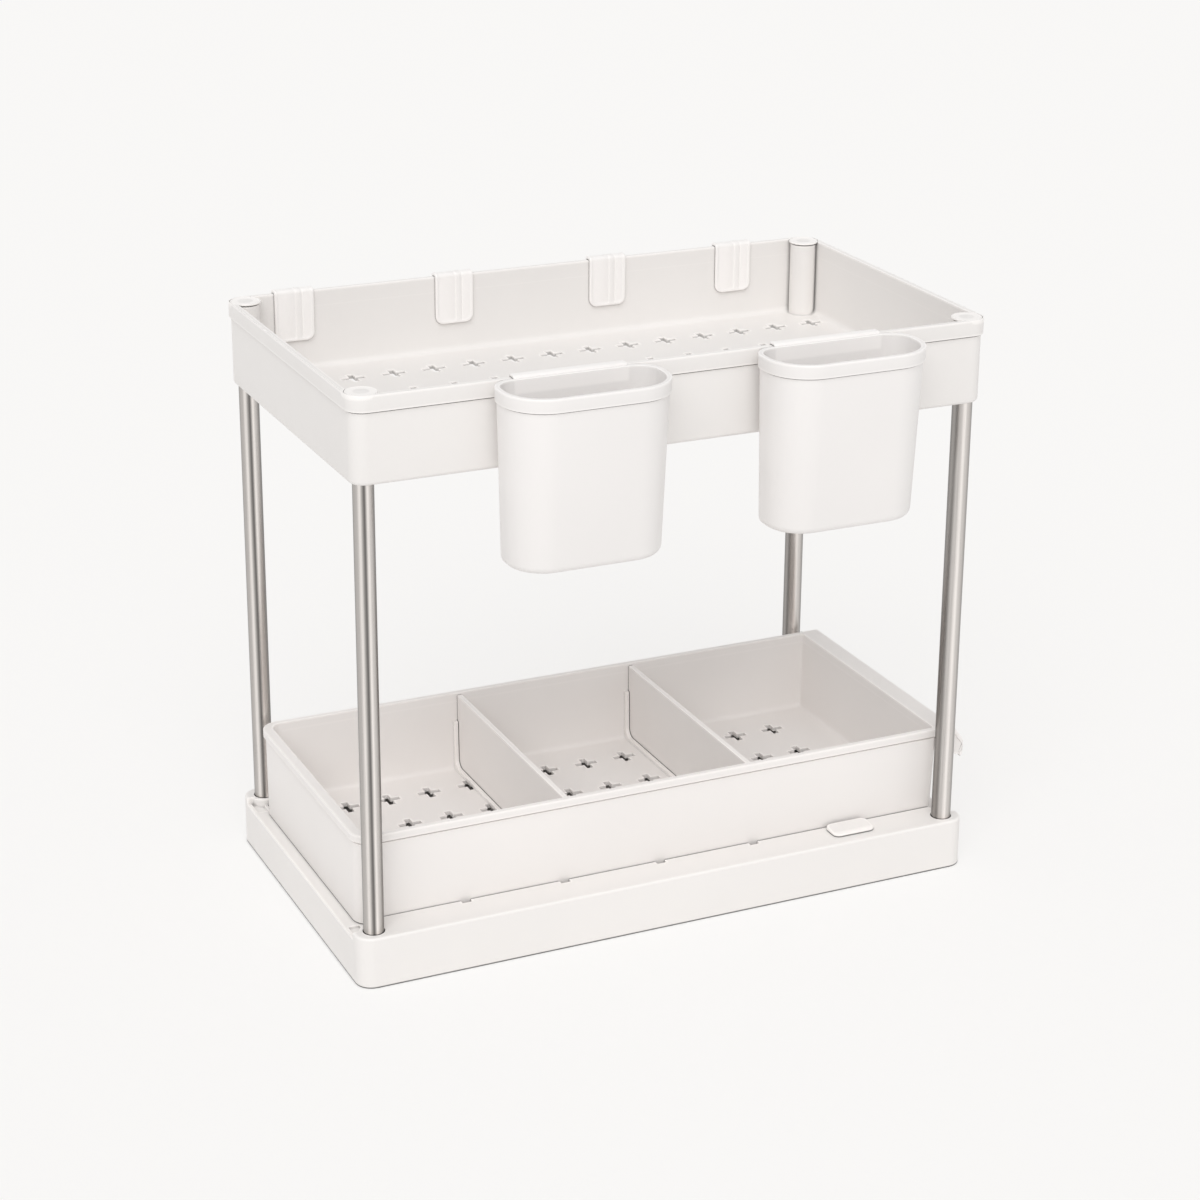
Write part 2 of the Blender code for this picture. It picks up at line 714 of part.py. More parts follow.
def drawer_grip():
    """Pull grip along the right end: a flange, a slope and a curled edge."""
    side = DRAWER_TOP_SIDE + DRAWER_RIM_PROUD
    section = grip_profile(0.0) + list(reversed(grip_profile(GRIP_THICKNESS)))
    bm = bmesh.new()
    front = [(x, -side, z) for x, z in section]
    back = [(x, side, z) for x, z in section]
    skin_rings(bm, [front, back])
    grip = add_object("grip_tool", bm, None, (0.0, 0.0, DRAWER_BOTTOM))

    web = grip_profile(GRIP_THICKNESS / 2)
    web.append((web[0][0], DRAWER_HEIGHT - GRIP_DROP))
    outer = side - GRIP_WEB_INSET
    bm = bmesh.new()
    for near in (-outer, outer - GRIP_WEB):
        ring = [(x, near, z) for x, z in web]
        skin_rings(bm, [ring, [(x, near + GRIP_WEB, z) for x, near, z in ring]])
    boolean(grip, add_object("grip_web_tool", bm, None, (0.0, 0.0, DRAWER_BOTTOM)), "UNION")

    bm = bmesh.new()
    root = section[0][0]
    reach = DRAWER_RIGHT + GRIP_REACH
    outline = rounded_outline(root - GRIP_REACH, reach, -side, side, [GRIP_CORNER] * 4)
    prism(bm, outline, 0.0, DRAWER_HEIGHT + CUT_OVERRUN)
    plan = add_object("grip_plan_tool", bm, None, (0.0, 0.0, DRAWER_BOTTOM))
    boolean(grip, plan, "INTERSECT")
    return grip


def inner_side_at(z):
    """Half depth of the drawer's inner wall at a height above its underside."""
    return drawer_side_at(z) - DRAWER_WALL


def divider_ribs():
    """Pairs of ribs that run down the walls and across the floor."""
    base = DRAWER_FLOOR_TOP
    top = base + RIB_TOP
    crest = base + RIB_HEIGHT
    outer = [
        (inner_side_at(top) + WELD, top),
        (inner_side_at(base) + WELD, base - WELD),
    ]
    low_side = inner_side_at(crest) - RIB_HEIGHT
    bend = arc_points((low_side - RIB_BEND, crest + RIB_BEND), RIB_BEND, 0.0, -0.5 * math.pi,
                      CORNER_STEPS)
    inner = [(inner_side_at(top) - RIB_HEIGHT, top)] + bend
    half = inner + [(-y, z) for y, z in reversed(inner)]
    section = half + [(-y, z) for y, z in outer] + list(reversed(outer))
    bm = bmesh.new()
    for place in (-DIVIDER_PLACE, DIVIDER_PLACE):
        for side in (-1, 1):
            near = place + side * SLOT_HALF
            far = near + side * RIB_THICKNESS
            extrude_section(bm, section, min(near, far), max(near, far))
    return add_object("divider_rib_tool", bm, None, (0.0, 0.0, DRAWER_BOTTOM))


def runner_lugs():
    """Lugs at the left end that run in the tracks and meet the stop clip."""
    arm_top = TRACK_TOP - GAP - DRAWER_BOTTOM
    root = DRAWER_FOOT_SIDE - DRAWER_WALL / 2
    tip = TRACK_SIDE - DRAWER_SIDE_FIT
    leg = BAY_SIDE + WELD
    section = [
        (root, 0.0),
        (leg, 0.0),
        (leg, -LUG_DROP),
        (tip, -LUG_DROP),
        (tip, arm_top),
        (root, arm_top),
    ]
    x0 = LUG_INSET - DRAWER_LEFT
    bm = bmesh.new()
    extrude_section(bm, section, x0, x0 + LUG_LENGTH)
    extrude_section(bm, [(-y, z) for y, z in section], x0, x0 + LUG_LENGTH)
    return add_object("lug_tool", bm, None, (0.0, 0.0, DRAWER_BOTTOM))


def build_drawer(material):
    """Sliding drawer with drain holes, divider ribs, lugs and a grip."""
    drawer = add_object("drawer", drawer_shell(), material, (0.0, 0.0, DRAWER_BOTTOM))
    inner_length = 2 * (DRAWER_LEFT - DRAWER_END_WALL)
    inner_depth = 2 * inner_side_at(DRAWER_FLOOR_TOP)
    columns = hole_count(inner_length, DRAWER_HOLE_MARGIN_X, DRAWER_HOLE_PITCH_X)
    rows = hole_count(inner_depth, DRAWER_HOLE_MARGIN_Y, DRAWER_HOLE_PITCH_Y)
    holes = plus_field("drawer_hole_cutter", columns, rows, DRAWER_HOLE_PITCH_X,
                       DRAWER_HOLE_PITCH_Y, DRAWER_FLOOR_LIFT - CUT_OVERRUN,
                       DRAWER_FLOOR_TOP + CUT_OVERRUN)
    holes.location = (DRAWER_HOLE_SHIFT, 0.0, DRAWER_BOTTOM)
    boolean(drawer, holes, "DIFFERENCE")
    boolean(drawer, divider_ribs(), "UNION")
    boolean(drawer, runner_lugs(), "UNION")
    boolean(drawer, drawer_grip(), "UNION")
    return drawer


def build_divider(name, place, drawer, material):
    """Plate that stands in a pair of ribs and lifts out of the drawer."""
    foot = DRAWER_FLOOR_TOP + GAP
    height = DRAWER_HEIGHT - DIVIDER_DROP - foot
    low = inner_side_at(foot) - DIVIDER_FIT
    high = inner_side_at(foot + height) - DIVIDER_FIT
    bend = arc_points((low - DIVIDER_CORNER, DIVIDER_CORNER), DIVIDER_CORNER, 0.0,
                      -0.5 * math.pi, CORNER_STEPS)
    half = [(high, height)] + bend
    section = half + [(-y, z) for y, z in reversed(half)]
    bm = bmesh.new()
    extrude_section(bm, section, -DIVIDER_THICKNESS / 2, DIVIDER_THICKNESS / 2)
    divider = add_object(name, bm, material, (place, 0.0, foot))
    divider.parent = drawer
    return divider


# Hooks, in a frame on top of the tray's back rim

def end_corner_edges(bm, tips, reach):
    """Edges across the strip's thickness at the heights of its two ends."""
    found = []
    for edge in bm.edges:
        a, b = (vert.co for vert in edge.verts)
        level = any(abs(a.z - tip) < WELD and abs(b.z - tip) < WELD for tip in tips)
        if level and abs(a.x - b.x) < WELD and abs(a.y - b.y) < reach:
            found.append(edge)
    return found


def saddle_path(inner_leg, outer_leg, inner_y, outer_y, crest, bend):
    """Centre line up one face of a wall, over its top and down the other."""
    quarter = 0.5 * math.pi
    path = [(inner_y, inner_leg)]
    path += arc_points((inner_y + bend, crest - bend), bend, math.pi, quarter, EDGE_STEPS)
    path += arc_points((outer_y - bend, crest - bend), bend, quarter, 0.0, EDGE_STEPS)
    path.append((outer_y, outer_leg))
    return path


def hook_mesh():
    """Saddle over the rim with a flap inside and a peg outside."""
    half = HOOK_THICKNESS / 2
    crest = HOOK_FIT + half
    inner_y = -TRAY_INSET - HOOK_FIT - half
    outer_y = HOOK_FIT + half
    path = saddle_path(-HOOK_FLAP, -HOOK_BACK, inner_y, outer_y, crest, HOOK_BEND)
    bm = bmesh.new()
    extrude_section(bm, strip_section(path, HOOK_THICKNESS), -HOOK_WIDTH / 2, HOOK_WIDTH / 2)
    bm.normal_update()
    corners = end_corner_edges(bm, (-HOOK_FLAP, -HOOK_BACK), 2 * HOOK_THICKNESS)
    round_edges(bm, corners, HOOK_CORNER, EDGE_STEPS)
    return bm


def peg_mesh():
    """Upturned peg that hangs below the saddle's outer leg."""
    half = PEG_THICKNESS / 2
    leg_y = HOOK_FIT + half
    turn = -PEG_DROP + PEG_RADIUS
    path = [(leg_y, -HOOK_BACK / 2)]
    path += arc_points((leg_y + PEG_RADIUS, turn), PEG_RADIUS, math.pi, 2.0 * math.pi, PEG_STEPS)
    path.append((leg_y + 2 * PEG_RADIUS, turn + PEG_TIP))
    bm = bmesh.new()
    extrude_section(bm, strip_section(path, PEG_THICKNESS), -PEG_WIDTH / 2, PEG_WIDTH / 2)
    return bm


def build_hook(name, place, material):
    """One lift-off hook on the back rim."""
    location = (place, TRAY_RIM_SIDE, TRAY_TOP)
    hook = add_object(name, hook_mesh(), material, location)
    peg = add_object(name + "_peg_tool", peg_mesh(), None, location)
    boolean(hook, peg, "UNION")
    return hook


# Cups, in a frame on top of the tray's front rim

def cup_ring(inset, z):
    """Ring of the cup at a depth below its rim, drawn in from the rim's face."""
    share = -z / CUP_HEIGHT
    taper = CUP_TAPER * share
    back_taper = CUP_BACK_TAPER * share
    end = CUP_LENGTH / 2 - inset - taper
    back = -CUP_FIT - inset - back_taper
    front = -CUP_FIT - CUP_DEPTH + inset + 2 * taper - back_taper
    near = CUP_FRONT_CORNER - inset - taper
    far = CUP_BACK_CORNER - inset - taper
    radii = (far, far, near, near)
    return at_height(rounded_outline(-end, end, front, back, radii, CUP_CORNER_STEPS), z)


def cup_shell():
    """Tapered cup with a proud rim band, from its foot over the rim to its floor."""
    rings = []
    for inset, rise in quarter_steps(CUP_EDGE, CUP_EDGE_STEPS):
        rings.append(cup_ring(CUP_RIM_PROUD + inset, rise - CUP_HEIGHT))
    rings.append(cup_ring(CUP_RIM_PROUD, -CUP_RIM_HEIGHT))
    rings.append(cup_ring(0.0, -CUP_RIM_HEIGHT))
    rings.append(cup_ring(0.0, -RIM_EDGE))
    rings.append(cup_ring(RIM_EDGE, 0.0))
    wall = CUP_RIM_PROUD + CUP_WALL
    rings.append(cup_ring(wall - RIM_EDGE, 0.0))
    rings.append(cup_ring(wall, -RIM_EDGE))
    fillet = CUP_EDGE - CUP_WALL
    for inset, rise in reversed(quarter_steps(fillet, CUP_EDGE_STEPS)):
        rings.append(cup_ring(wall + inset, rise + CUP_FLOOR - CUP_HEIGHT))
    bm = bmesh.new()
    skin_rings(bm, rings)
    return bm


def hanger_mesh():
    """Strip from the cup's back wall over the tray's rim and down inside it."""
    half = HANGER_THICKNESS / 2
    inner_y = TRAY_INSET + CUP_FIT + half
    root_y = -CUP_FIT - CUP_RIM_PROUD / 2 - half
    crest = HANGER_CREST_FIT + half
    path = saddle_path(-HANGER_ROOT, -HANGER_LIP, root_y, inner_y, crest, HANGER_BEND)
    bm = bmesh.new()
    extrude_section(bm, strip_section(path, HANGER_THICKNESS), -HANGER_WIDTH / 2,
                    HANGER_WIDTH / 2)
    return bm


def build_cup(name, place, material):
    """One lift-off cup on the front rim."""
    location = (place, -TRAY_RIM_SIDE, TRAY_TOP)
    cup = add_object(name, cup_shell(), material, location)
    hanger = add_object(name + "_hanger_tool", hanger_mesh(), None, location)
    boolean(cup, hanger, "UNION")
    return cup


def main():
    clear_scene()
    plastic = make_material("satin_plastic", PLASTIC_COLOUR, 0.42, 0.0)
    insert = make_material("insert_plastic", INSERT_COLOUR, 0.45, 0.0)
    steel = make_material("brushed_steel", STEEL_COLOUR, 0.3, 1.0)

    build_base(plastic)
    build_stop_clip(plastic)
    corner_names = ("front_left", "front_right", "back_left", "back_right")
    for corner, (x, y) in zip(corner_names, POST_PLACES):
        build_post("post_" + corner, x, y, steel)
        build_cap("cap_" + corner, x, y, plastic)
    build_tray(plastic)
    drawer = build_drawer(plastic)
    build_divider("divider_left", -DIVIDER_PLACE, drawer, insert)
    build_divider("divider_right", DIVIDER_PLACE, drawer, insert)
    for index, share in enumerate(HOOK_PLACE_SHARES):
        build_hook("hook_" + str(index + 1), share * TRAY_RIM_END, plastic)
    for index, share in enumerate(CUP_PLACE_SHARES):
        build_cup("cup_" + str(index + 1), share * TRAY_RIM_END, plastic)


main()
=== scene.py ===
"""Two-tier organizer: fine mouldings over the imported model, their finishes and a studio.

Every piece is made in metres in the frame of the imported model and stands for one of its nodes.
"""
import math

import bmesh
import bpy
from bpy.props import FloatProperty, FloatVectorProperty, IntProperty, PointerProperty
from mathutils import Matrix, Vector


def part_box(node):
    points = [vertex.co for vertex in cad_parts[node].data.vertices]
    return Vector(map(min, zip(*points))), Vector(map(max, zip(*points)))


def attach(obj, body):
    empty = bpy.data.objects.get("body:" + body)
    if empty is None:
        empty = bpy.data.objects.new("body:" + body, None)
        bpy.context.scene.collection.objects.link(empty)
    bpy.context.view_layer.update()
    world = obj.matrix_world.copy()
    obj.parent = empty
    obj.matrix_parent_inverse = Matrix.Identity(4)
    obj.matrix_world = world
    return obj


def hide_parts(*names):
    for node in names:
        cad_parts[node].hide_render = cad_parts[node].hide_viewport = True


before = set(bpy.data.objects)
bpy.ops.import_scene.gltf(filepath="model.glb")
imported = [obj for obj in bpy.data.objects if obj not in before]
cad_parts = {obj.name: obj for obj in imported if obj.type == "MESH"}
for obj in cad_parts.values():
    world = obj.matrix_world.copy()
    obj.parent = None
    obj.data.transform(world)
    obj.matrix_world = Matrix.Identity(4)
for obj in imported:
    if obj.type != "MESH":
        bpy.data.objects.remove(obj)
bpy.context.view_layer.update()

bl_info = {
    "name": "Two-tier organizer",
    "version": (1, 0, 0),
    "blender": (4, 5, 0),
    "location": "View3D > Sidebar > Organizer",
    "description": "Builds a two-tier cabinet organizer with its drawer, tray, cups and hooks",
    "category": "Object",
}

CORNERS = ("front_left", "front_right", "back_left", "back_right")
HOOKS = ("hook_1", "hook_2", "hook_3", "hook_4")
CUPS = ("cup_1", "cup_2")
DIVIDERS = ("divider_left", "divider_right")
SMOOTH_LIMIT = math.radians(38.0)
QUARTER = 0.5 * math.pi
MM_PER_METRE = 1000.0
SIDES = (-1, 1)
# How far cutters run past a face, how far joined bodies overlap, and the least corner radius
CUT = 0.001
OVERLAP = 0.0001
LEAST_CORNER = 0.0008
# An edge's radius over these gives the distances at which points and slivers are joined
WELD_PART = 20
SLIVER_PART = 40

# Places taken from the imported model
BASE_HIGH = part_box("base_frame")[1]
TRAY_LOW, TRAY_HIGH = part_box("upper_tray")
DRAWER_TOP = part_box("drawer")[1].z
CLIP_LOW, CLIP_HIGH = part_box("drawer_stop_clip")
END = BASE_HIGH.x
SIDE = BASE_HIGH.y
RIM_END = TRAY_HIGH.x
RIM_SIDE = TRAY_HIGH.y
RIM_TOP = TRAY_HIGH.z


def length(label, text, millimetres):
    """A size property, kept in metres."""
    return FloatProperty(name=label, description=text, default=millimetres / MM_PER_METRE, min=0.0,
                         subtype="DISTANCE", unit="LENGTH", precision=5)


def colour(label, text, value):
    """A colour property."""
    return FloatVectorProperty(name=label, description=text, default=value, size=3, min=0.0,
                               max=1.0, subtype="COLOR")


def share(label, text, value, top=1.0):
    """A plain number property."""
    return FloatProperty(name=label, description=text, default=value, min=0.0, max=top)


def count(label, text, value):
    """A whole number property."""
    return IntProperty(name=label, description=text, default=value, min=1, max=256)


class ORGANIZER_PG_detail(bpy.types.PropertyGroup):
    round_steps: count("Round steps", "Facets round a tube or a cap", 56)
    corner_steps: count("Corner steps", "Facets round a quarter of a moulded corner", 10)
    edge_steps: count("Edge steps", "Facets round a rolled edge", 3)
    edge: length("Edge radius", "Radius left by the mould along plain edges", 0.3)
    fit: length("Fit", "Gap between pieces that touch", 0.3)
    line: length("Shadow line", "Height and depth of the line under a cup's band", 0.45)
    rim_line: length("Rim line", "Height and depth of the line under a tray or drawer rim", 0.65)
    line_edge: length("Shadow line radius", "Radius inside the line under a rim band", 0.12)


class ORGANIZER_PG_base(bpy.types.PropertyGroup):
    corner: length("Corner radius", "Radius of the base's corners in plan", 10.0)
    top_edge: length("Top edge radius", "Radius round the top of the outer wall", 1.2)
    foot_edge: length("Foot radius", "Radius round the foot of the outer wall", 1.1)
    wall: length("Wall", "Thickness of the outer wall", 2.5)
    floor: length("Floor", "Thickness of the floor panel", 2.5)
    ledge_width: length("Ledge width", "Width of the long ledges", 24.0)
    ledge_plate: length("Ledge plate", "Thickness of the ledges' top plate", 2.2)
    sill_width: length("Sill width", "Width of the low end sills", 11.5)
    sill_drop: length("Sill drop", "Depth of the sills below the ledges", 4.0)
    recess_margin: length("Recess margin", "How far the sills run past the bay on each side", 11.0)
    pocket_length: length("Pocket length", "Length of the shallow pocket beside a boss", 8.0)
    pocket_drop: length("Pocket drop", "Depth of the pocket beside a boss", 1.5)
    pocket_rim: length("Pocket rim", "Rim left between the pocket and the edges", 2.4)
    boss_wall: length("Boss wall", "Wall round each post socket", 2.3)
    socket_floor: length("Socket floor", "Material left under each post", 3.0)
    rail_width: length("Rail width", "Width of the rails that carry the drawer", 3.5)
    track_width: length("Track width", "Width of the tracks under the ledges", 4.5)
    track_height: length("Track height", "Height of the tracks under the ledges", 7.3)
    core_end: length("Core end", "Solid length at both ends of a ledge", 28.0)
    core_rib: length("Core rib", "Thickness of the ribs under a ledge", 2.4)
    core_cells: count("Core cells", "Hollow cells under each ledge", 3)
    notch_length: length("Notch length", "Length of a notch in a ledge", 6.0)
    notch_depth: length("Notch depth", "Depth of a notch in a ledge", 3.0)
    notch_pitch: length("Notch pitch", "Distance between notches", 63.0)
    notch_count: count("Notches", "Notches along each ledge", 5)


class ORGANIZER_PG_posts(bpy.types.PropertyGroup):
    wall: length("Tube wall", "Thickness of the steel tube", 0.8)
    tube_edge: length("Tube edge", "Radius at the ends of the tube", 0.15)
    cap_thickness: length("Cap thickness", "Thickness of the cap's disc", 1.5)
    cap_disc: length("Cap disc", "Thickness of the disc's edge", 1.1)
    cap_rim: length("Cap rim", "Width of the raised rim round the cap", 0.8)
    cap_dish: length("Cap dish", "Depth of the dish in the cap", 0.15)
    cap_collar: length("Cap collar", "Radius of the collar under the disc", 6.0)
    plug_length: length("Plug length", "Length of the plug in the tube", 20.0)
    plug_fit: length("Plug fit", "Gap round the plug", 0.5)


class ORGANIZER_PG_tray(bpy.types.PropertyGroup):
    corner: length("Corner radius", "Radius of the tray's corners in plan", 10.5)
    wall: length("Wall", "Thickness of the walls", 2.3)
    floor: length("Floor", "Thickness of the floor", 2.8)
    foot_edge: length("Foot radius", "Radius between floor and walls", 2.5)
    floor_fillet: length("Floor fillet", "Radius between floor and walls inside", 4.3)
    rim_height: length("Rim height", "Height of the rim band", 9.5)
    rim_proud: length("Rim overhang", "How far the rim band stands out", 1.3)
    rim_edge: length("Rim edge radius", "Radius along the top of the rim", 0.45)
    column_wall: length("Column wall", "Wall of the corner columns", 2.0)
    hole_span: length("Hole span", "Length of a plus-shaped hole", 14.6)
    hole_arm: length("Hole arm", "Width of a plus-shaped hole's arms", 4.0)
    pitch_x: length("Hole pitch along", "Distance between holes along the tray", 26.0)
    pitch_y: length("Hole pitch across", "Distance between holes across the tray", 38.0)
    columns: count("Hole columns", "Holes along the tray", 15)
    rows: count("Hole rows", "Holes across the tray", 5)


class ORGANIZER_PG_drawer(bpy.types.PropertyGroup):
    left_corner: length("Left corner radius", "Radius of the two left corners", 10.0)
    right_corner: length("Right corner radius", "Radius of the two right corners", 4.0)
    side_fit: length("Side fit", "Gap between the drawer's foot and the bay", 0.5)
    line_height: length("Line height", "Height of the line under the rim band", 1.4)
    draft: length("Draft", "How far the walls lean out", 1.2)
    wall: length("Wall", "Thickness of the walls", 2.2)
    end_wall: length("End wall", "Thickness of the wall at the left end", 5.0)
    floor: length("Floor", "Thickness of the floor", 3.1)
    floor_lift: length("Floor lift", "Height of the floor above the skirt's foot", 2.1)
    floor_fillet: length("Floor fillet", "Radius between floor and walls", 3.0)
    rim_height: length("Rim height", "Height of the rim band", 4.8)
    rim_proud: length("Rim overhang", "How far the rim band stands out", 1.5)
    rim_edge: length("Rim edge radius", "Radius along the top of the rim", 0.4)
    left_setback: length("Left setback", "Distance from the base's left end", 7.8)
    right_setback: length("Right setback", "Distance from the base's right end", 9.0)
    pitch_x: length("Hole pitch along", "Distance between holes along the drawer", 27.2)
    pitch_y: length("Hole pitch across", "Distance between holes across the drawer", 38.0)
    columns: count("Hole columns", "Holes along the drawer", 12)
    rows: count("Hole rows", "Holes across the drawer", 4)
    hole_shift: length("Hole shift", "How far the holes sit towards the grip", 2.2)
    rib: length("Rib thickness", "Thickness of the divider ribs", 2.6)
    rib_height: length("Rib height", "How far a rib stands out", 2.2)
    rib_top: length("Rib top", "Height of the ribs above the floor", 33.0)
    rib_bend: length("Rib bend", "Radius of a rib between wall and floor", 6.0)
    lug_length: length("Lug length", "Length of a runner lug", 8.0)
    lug_inset: length("Lug inset", "Distance of a lug from the left end", 8.2)
    lug_drop: length("Lug drop", "How far a lug hangs below the skirt", 3.3)
    divider: length("Divider thickness", "Thickness of the two dividers", 3.4)
    divider_corner: length("Divider corner", "Radius of the dividers' lower corners", 4.0)
    divider_fit: length("Divider fit", "Gap between divider and wall", 0.4)


class ORGANIZER_PG_grip(bpy.types.PropertyGroup):
    reach: length("Reach", "How far the grip stands out", 20.0)
    drop: length("Drop", "Height of the curl's centre below the rim", 15.5)
    radius: length("Curl radius", "Radius of the curled edge", 7.0)
    thickness: length("Thickness", "Thickness of the grip", 2.2)
    corner: length("Corner radius", "Radius of the grip's ends in plan", 5.0)
    web: length("Web thickness", "Thickness of the end webs", 2.0)
    web_inset: length("Web inset", "Distance of the webs from the ends", 0.8)


class ORGANIZER_PG_hooks(bpy.types.PropertyGroup):
    width: length("Width", "Width of a hook", 24.6)
    thickness: length("Thickness", "Thickness of the saddle", 1.7)
    flap: length("Flap", "Length of the leg inside the tray", 30.0)
    back: length("Back leg", "Length of the leg behind the tray", 30.0)
    corner: length("Corner radius", "Radius of the legs' corners", 5.0)
    bend: length("Bend radius", "Radius of the bends over the rim", 1.7)
    fit: length("Fit", "Gap round the rim", 0.4)
    edge: length("Edge radius", "Radius round the border", 0.7)
    border: length("Border", "Width of the raised border", 1.5)
    sink: length("Panel sink", "Depth of the panel inside the border", 0.22)
    groove: length("Groove depth", "Depth of the two grooves", 0.16)
    peg_width: length("Peg width", "Width of the peg", 12.0)
    peg_thickness: length("Peg thickness", "Thickness of the peg", 2.4)
    peg_radius: length("Peg radius", "Radius of the peg's turn", 6.7)
    peg_drop: length("Peg drop", "Depth of the peg below the rim", 42.0)
    peg_tip: length("Peg tip", "Length of the upturned tip", 7.0)


class ORGANIZER_PG_cups(bpy.types.PropertyGroup):
    length: length("Length", "Length of the cup's rim", 99.5)
    depth: length("Depth", "Depth of the cup's rim", 45.5)
    height: length("Height", "Height of the cup", 101.5)
    back_corner: length("Back corner radius", "Radius of the corners at the tray", 15.0)
    front_corner: length("Front corner radius", "Radius of the front corners", 25.5)
    wall: length("Wall", "Thickness of the wall", 2.2)
    floor: length("Floor", "Thickness of the floor", 2.4)
    foot_edge: length("Foot radius", "Radius round the foot", 4.5)
    taper: length("Taper", "How far each end leans in", 3.0)
    back_taper: length("Back taper", "How far the back leans in", 0.6)
    rim_height: length("Rim height", "Height of the rim band", 8.0)
    rim_proud: length("Rim overhang", "How far the rim band stands out", 1.0)
    rim_edge: length("Rim edge radius", "Radius along the top of the rim", 0.5)
    fit: length("Fit", "Gap to the tray", 0.5)
    strap_width: length("Strap width", "Width of the hanging strap", 68.0)
    strap: length("Strap thickness", "Thickness of the hanging strap", 1.4)
    strap_fit: length("Strap fit", "Gap over the tray's rim", 0.1)
    strap_gap: length("Strap gap", "Gap between the strap and the tray's wall", 0.3)
    strap_lip: length("Strap lip", "Length of the strap inside the tray", 12.0)
    strap_root: length("Strap root", "Length of the strap in the cup's wall", 8.0)
    strap_bend: length("Strap bend", "Radius of the strap's bends", 1.2)


class ORGANIZER_PG_finish(bpy.types.PropertyGroup):
    shell: colour("Shell plastic", "Colour of the base, tray and caps", (0.862, 0.836, 0.815))
    cups: colour("Cup plastic", "Colour of the cups and hooks", (0.888, 0.863, 0.847))
    drawer: colour("Drawer plastic", "Colour of the drawer", (0.89, 0.857, 0.835))
    insert: colour("Insert plastic", "Colour of the dividers", (0.90, 0.865, 0.842))
    steel: colour("Steel", "Lightest tone of the brushed tubes", (0.95, 0.905, 0.87))
    gloss: share("Roughness", "Roughness of the satin plastic", 0.40)
    grain: share("Grain", "Height of the moulded grain", 0.05)
    cloud: share("Colour drift", "Slow change of tone over a moulding", 0.02)
    # Painted shade: darkening of inner corners and crevices, painted into the plastics' colour
    painted_crevice_shade: share("Crevice tone", "How far inner corners are toned down", 0.40)
    # Painted shade: darkening of narrow gaps between parts, painted into the colour of the
    # plastics and the tubes
    seam: share("Seam tone", "How far narrow gaps are toned down", 0.65)
    # Painted shade: darkening of the walls of the tray's holes, painted into its colour
    depth: share("Hole tone", "How far the walls of the tray's holes are toned down", 0.42)
    # Painted highlight: lightest tone to which outer edges are lifted in the plastics' colour
    painted_edge_highlight: share("Worn tone", "Lightest tone along worn outer edges", 0.985)
    brush: share("Brush lines", "Strength of the lines along the tubes", 0.10)


class ORGANIZER_PG_studio(bpy.types.PropertyGroup):
    backdrop: colour("Backdrop", "Colour behind the object", (0.9216, 0.9130, 0.9047))
    floor: colour("Floor", "Colour of the floor", (0.95, 0.94, 0.93))
    paper: colour("Paper", "Colour of the floor's even share", (0.970, 0.960, 0.948))
    floor_glow: share("Floor evenness", "Share of the floor's colour that takes no shadow", 0.70)
    dome: share("Dome", "Strength of the even light from all round", 0.60, 10.0)
    lamp: share("Lamp", "Strength of the large soft lamp", 1.44, 20.0)
    spread: share("Lamp spread", "Angle that the lamp fills, in degrees", 50.0, 170.0)
    reach: length("Floor reach", "Half width of the floor", 14000.0)


class ORGANIZER_PG_settings(bpy.types.PropertyGroup):
    detail: PointerProperty(type=ORGANIZER_PG_detail, name="Detail", description="Fineness")
    base: PointerProperty(type=ORGANIZER_PG_base, name="Base", description="Base sizes")
    posts: PointerProperty(type=ORGANIZER_PG_posts, name="Posts", description="Post sizes")
    tray: PointerProperty(type=ORGANIZER_PG_tray, name="Tray", description="Tray sizes")
    drawer: PointerProperty(type=ORGANIZER_PG_drawer, name="Drawer", description="Drawer sizes")
    grip: PointerProperty(type=ORGANIZER_PG_grip, name="Grip", description="Grip sizes")
    hooks: PointerProperty(type=ORGANIZER_PG_hooks, name="Hooks", description="Hook sizes")
    cups: PointerProperty(type=ORGANIZER_PG_cups, name="Cups", description="Cup sizes")
    finish: PointerProperty(type=ORGANIZER_PG_finish, name="Finish", description="Finishes")
    studio: PointerProperty(type=ORGANIZER_PG_studio, name="Studio", description="Studio")


# Outlines and profiles

def arc_points(centre, radius, start, end, steps):
    """Points along an arc in a plane, both ends included."""
    angles = [start + (end - start) * step / steps for step in range(steps + 1)]
    return [(centre[0] + radius * math.cos(angle), centre[1] + radius * math.sin(angle))
            for angle in angles]


def rounded_outline(x0, x1, y0, y1, radii, steps):
    """Counter-clockwise rectangle with round corners, from the back right one on."""
    corners = ((x1, y1, -1, -1), (x0, y1, 1, -1), (x0, y0, 1, 1), (x1, y0, -1, 1))
    points = []
    for turn, ((x, y, side_x, side_y), radius) in enumerate(zip(corners, radii)):
        centre = (x + side_x * radius, y + side_y * radius)
        points += arc_points(centre, radius, QUARTER * turn, QUARTER * (turn + 1), steps)
    return points


def circle_outline(radius, steps, centre):
    """Counter-clockwise points of a circle."""
    turn = 2.0 * math.pi / steps
    return [(centre[0] + radius * math.cos(turn * i), centre[1] + radius * math.sin(turn * i))
            for i in range(steps)]


def at_height(outline, z):
    """Lift a flat outline to a ring at height z."""
    return [(x, y, z) for x, y in outline]


def centred_ring(end, side, corner, inset, z, steps):
    """Ring of a piece that is centred in plan, drawn in from its outline by an inset."""
    x, y = end - inset, side - inset
    radii = [max(corner - inset, LEAST_CORNER)] * 4
    return at_height(rounded_outline(-x, x, -y, y, radii, steps), z)


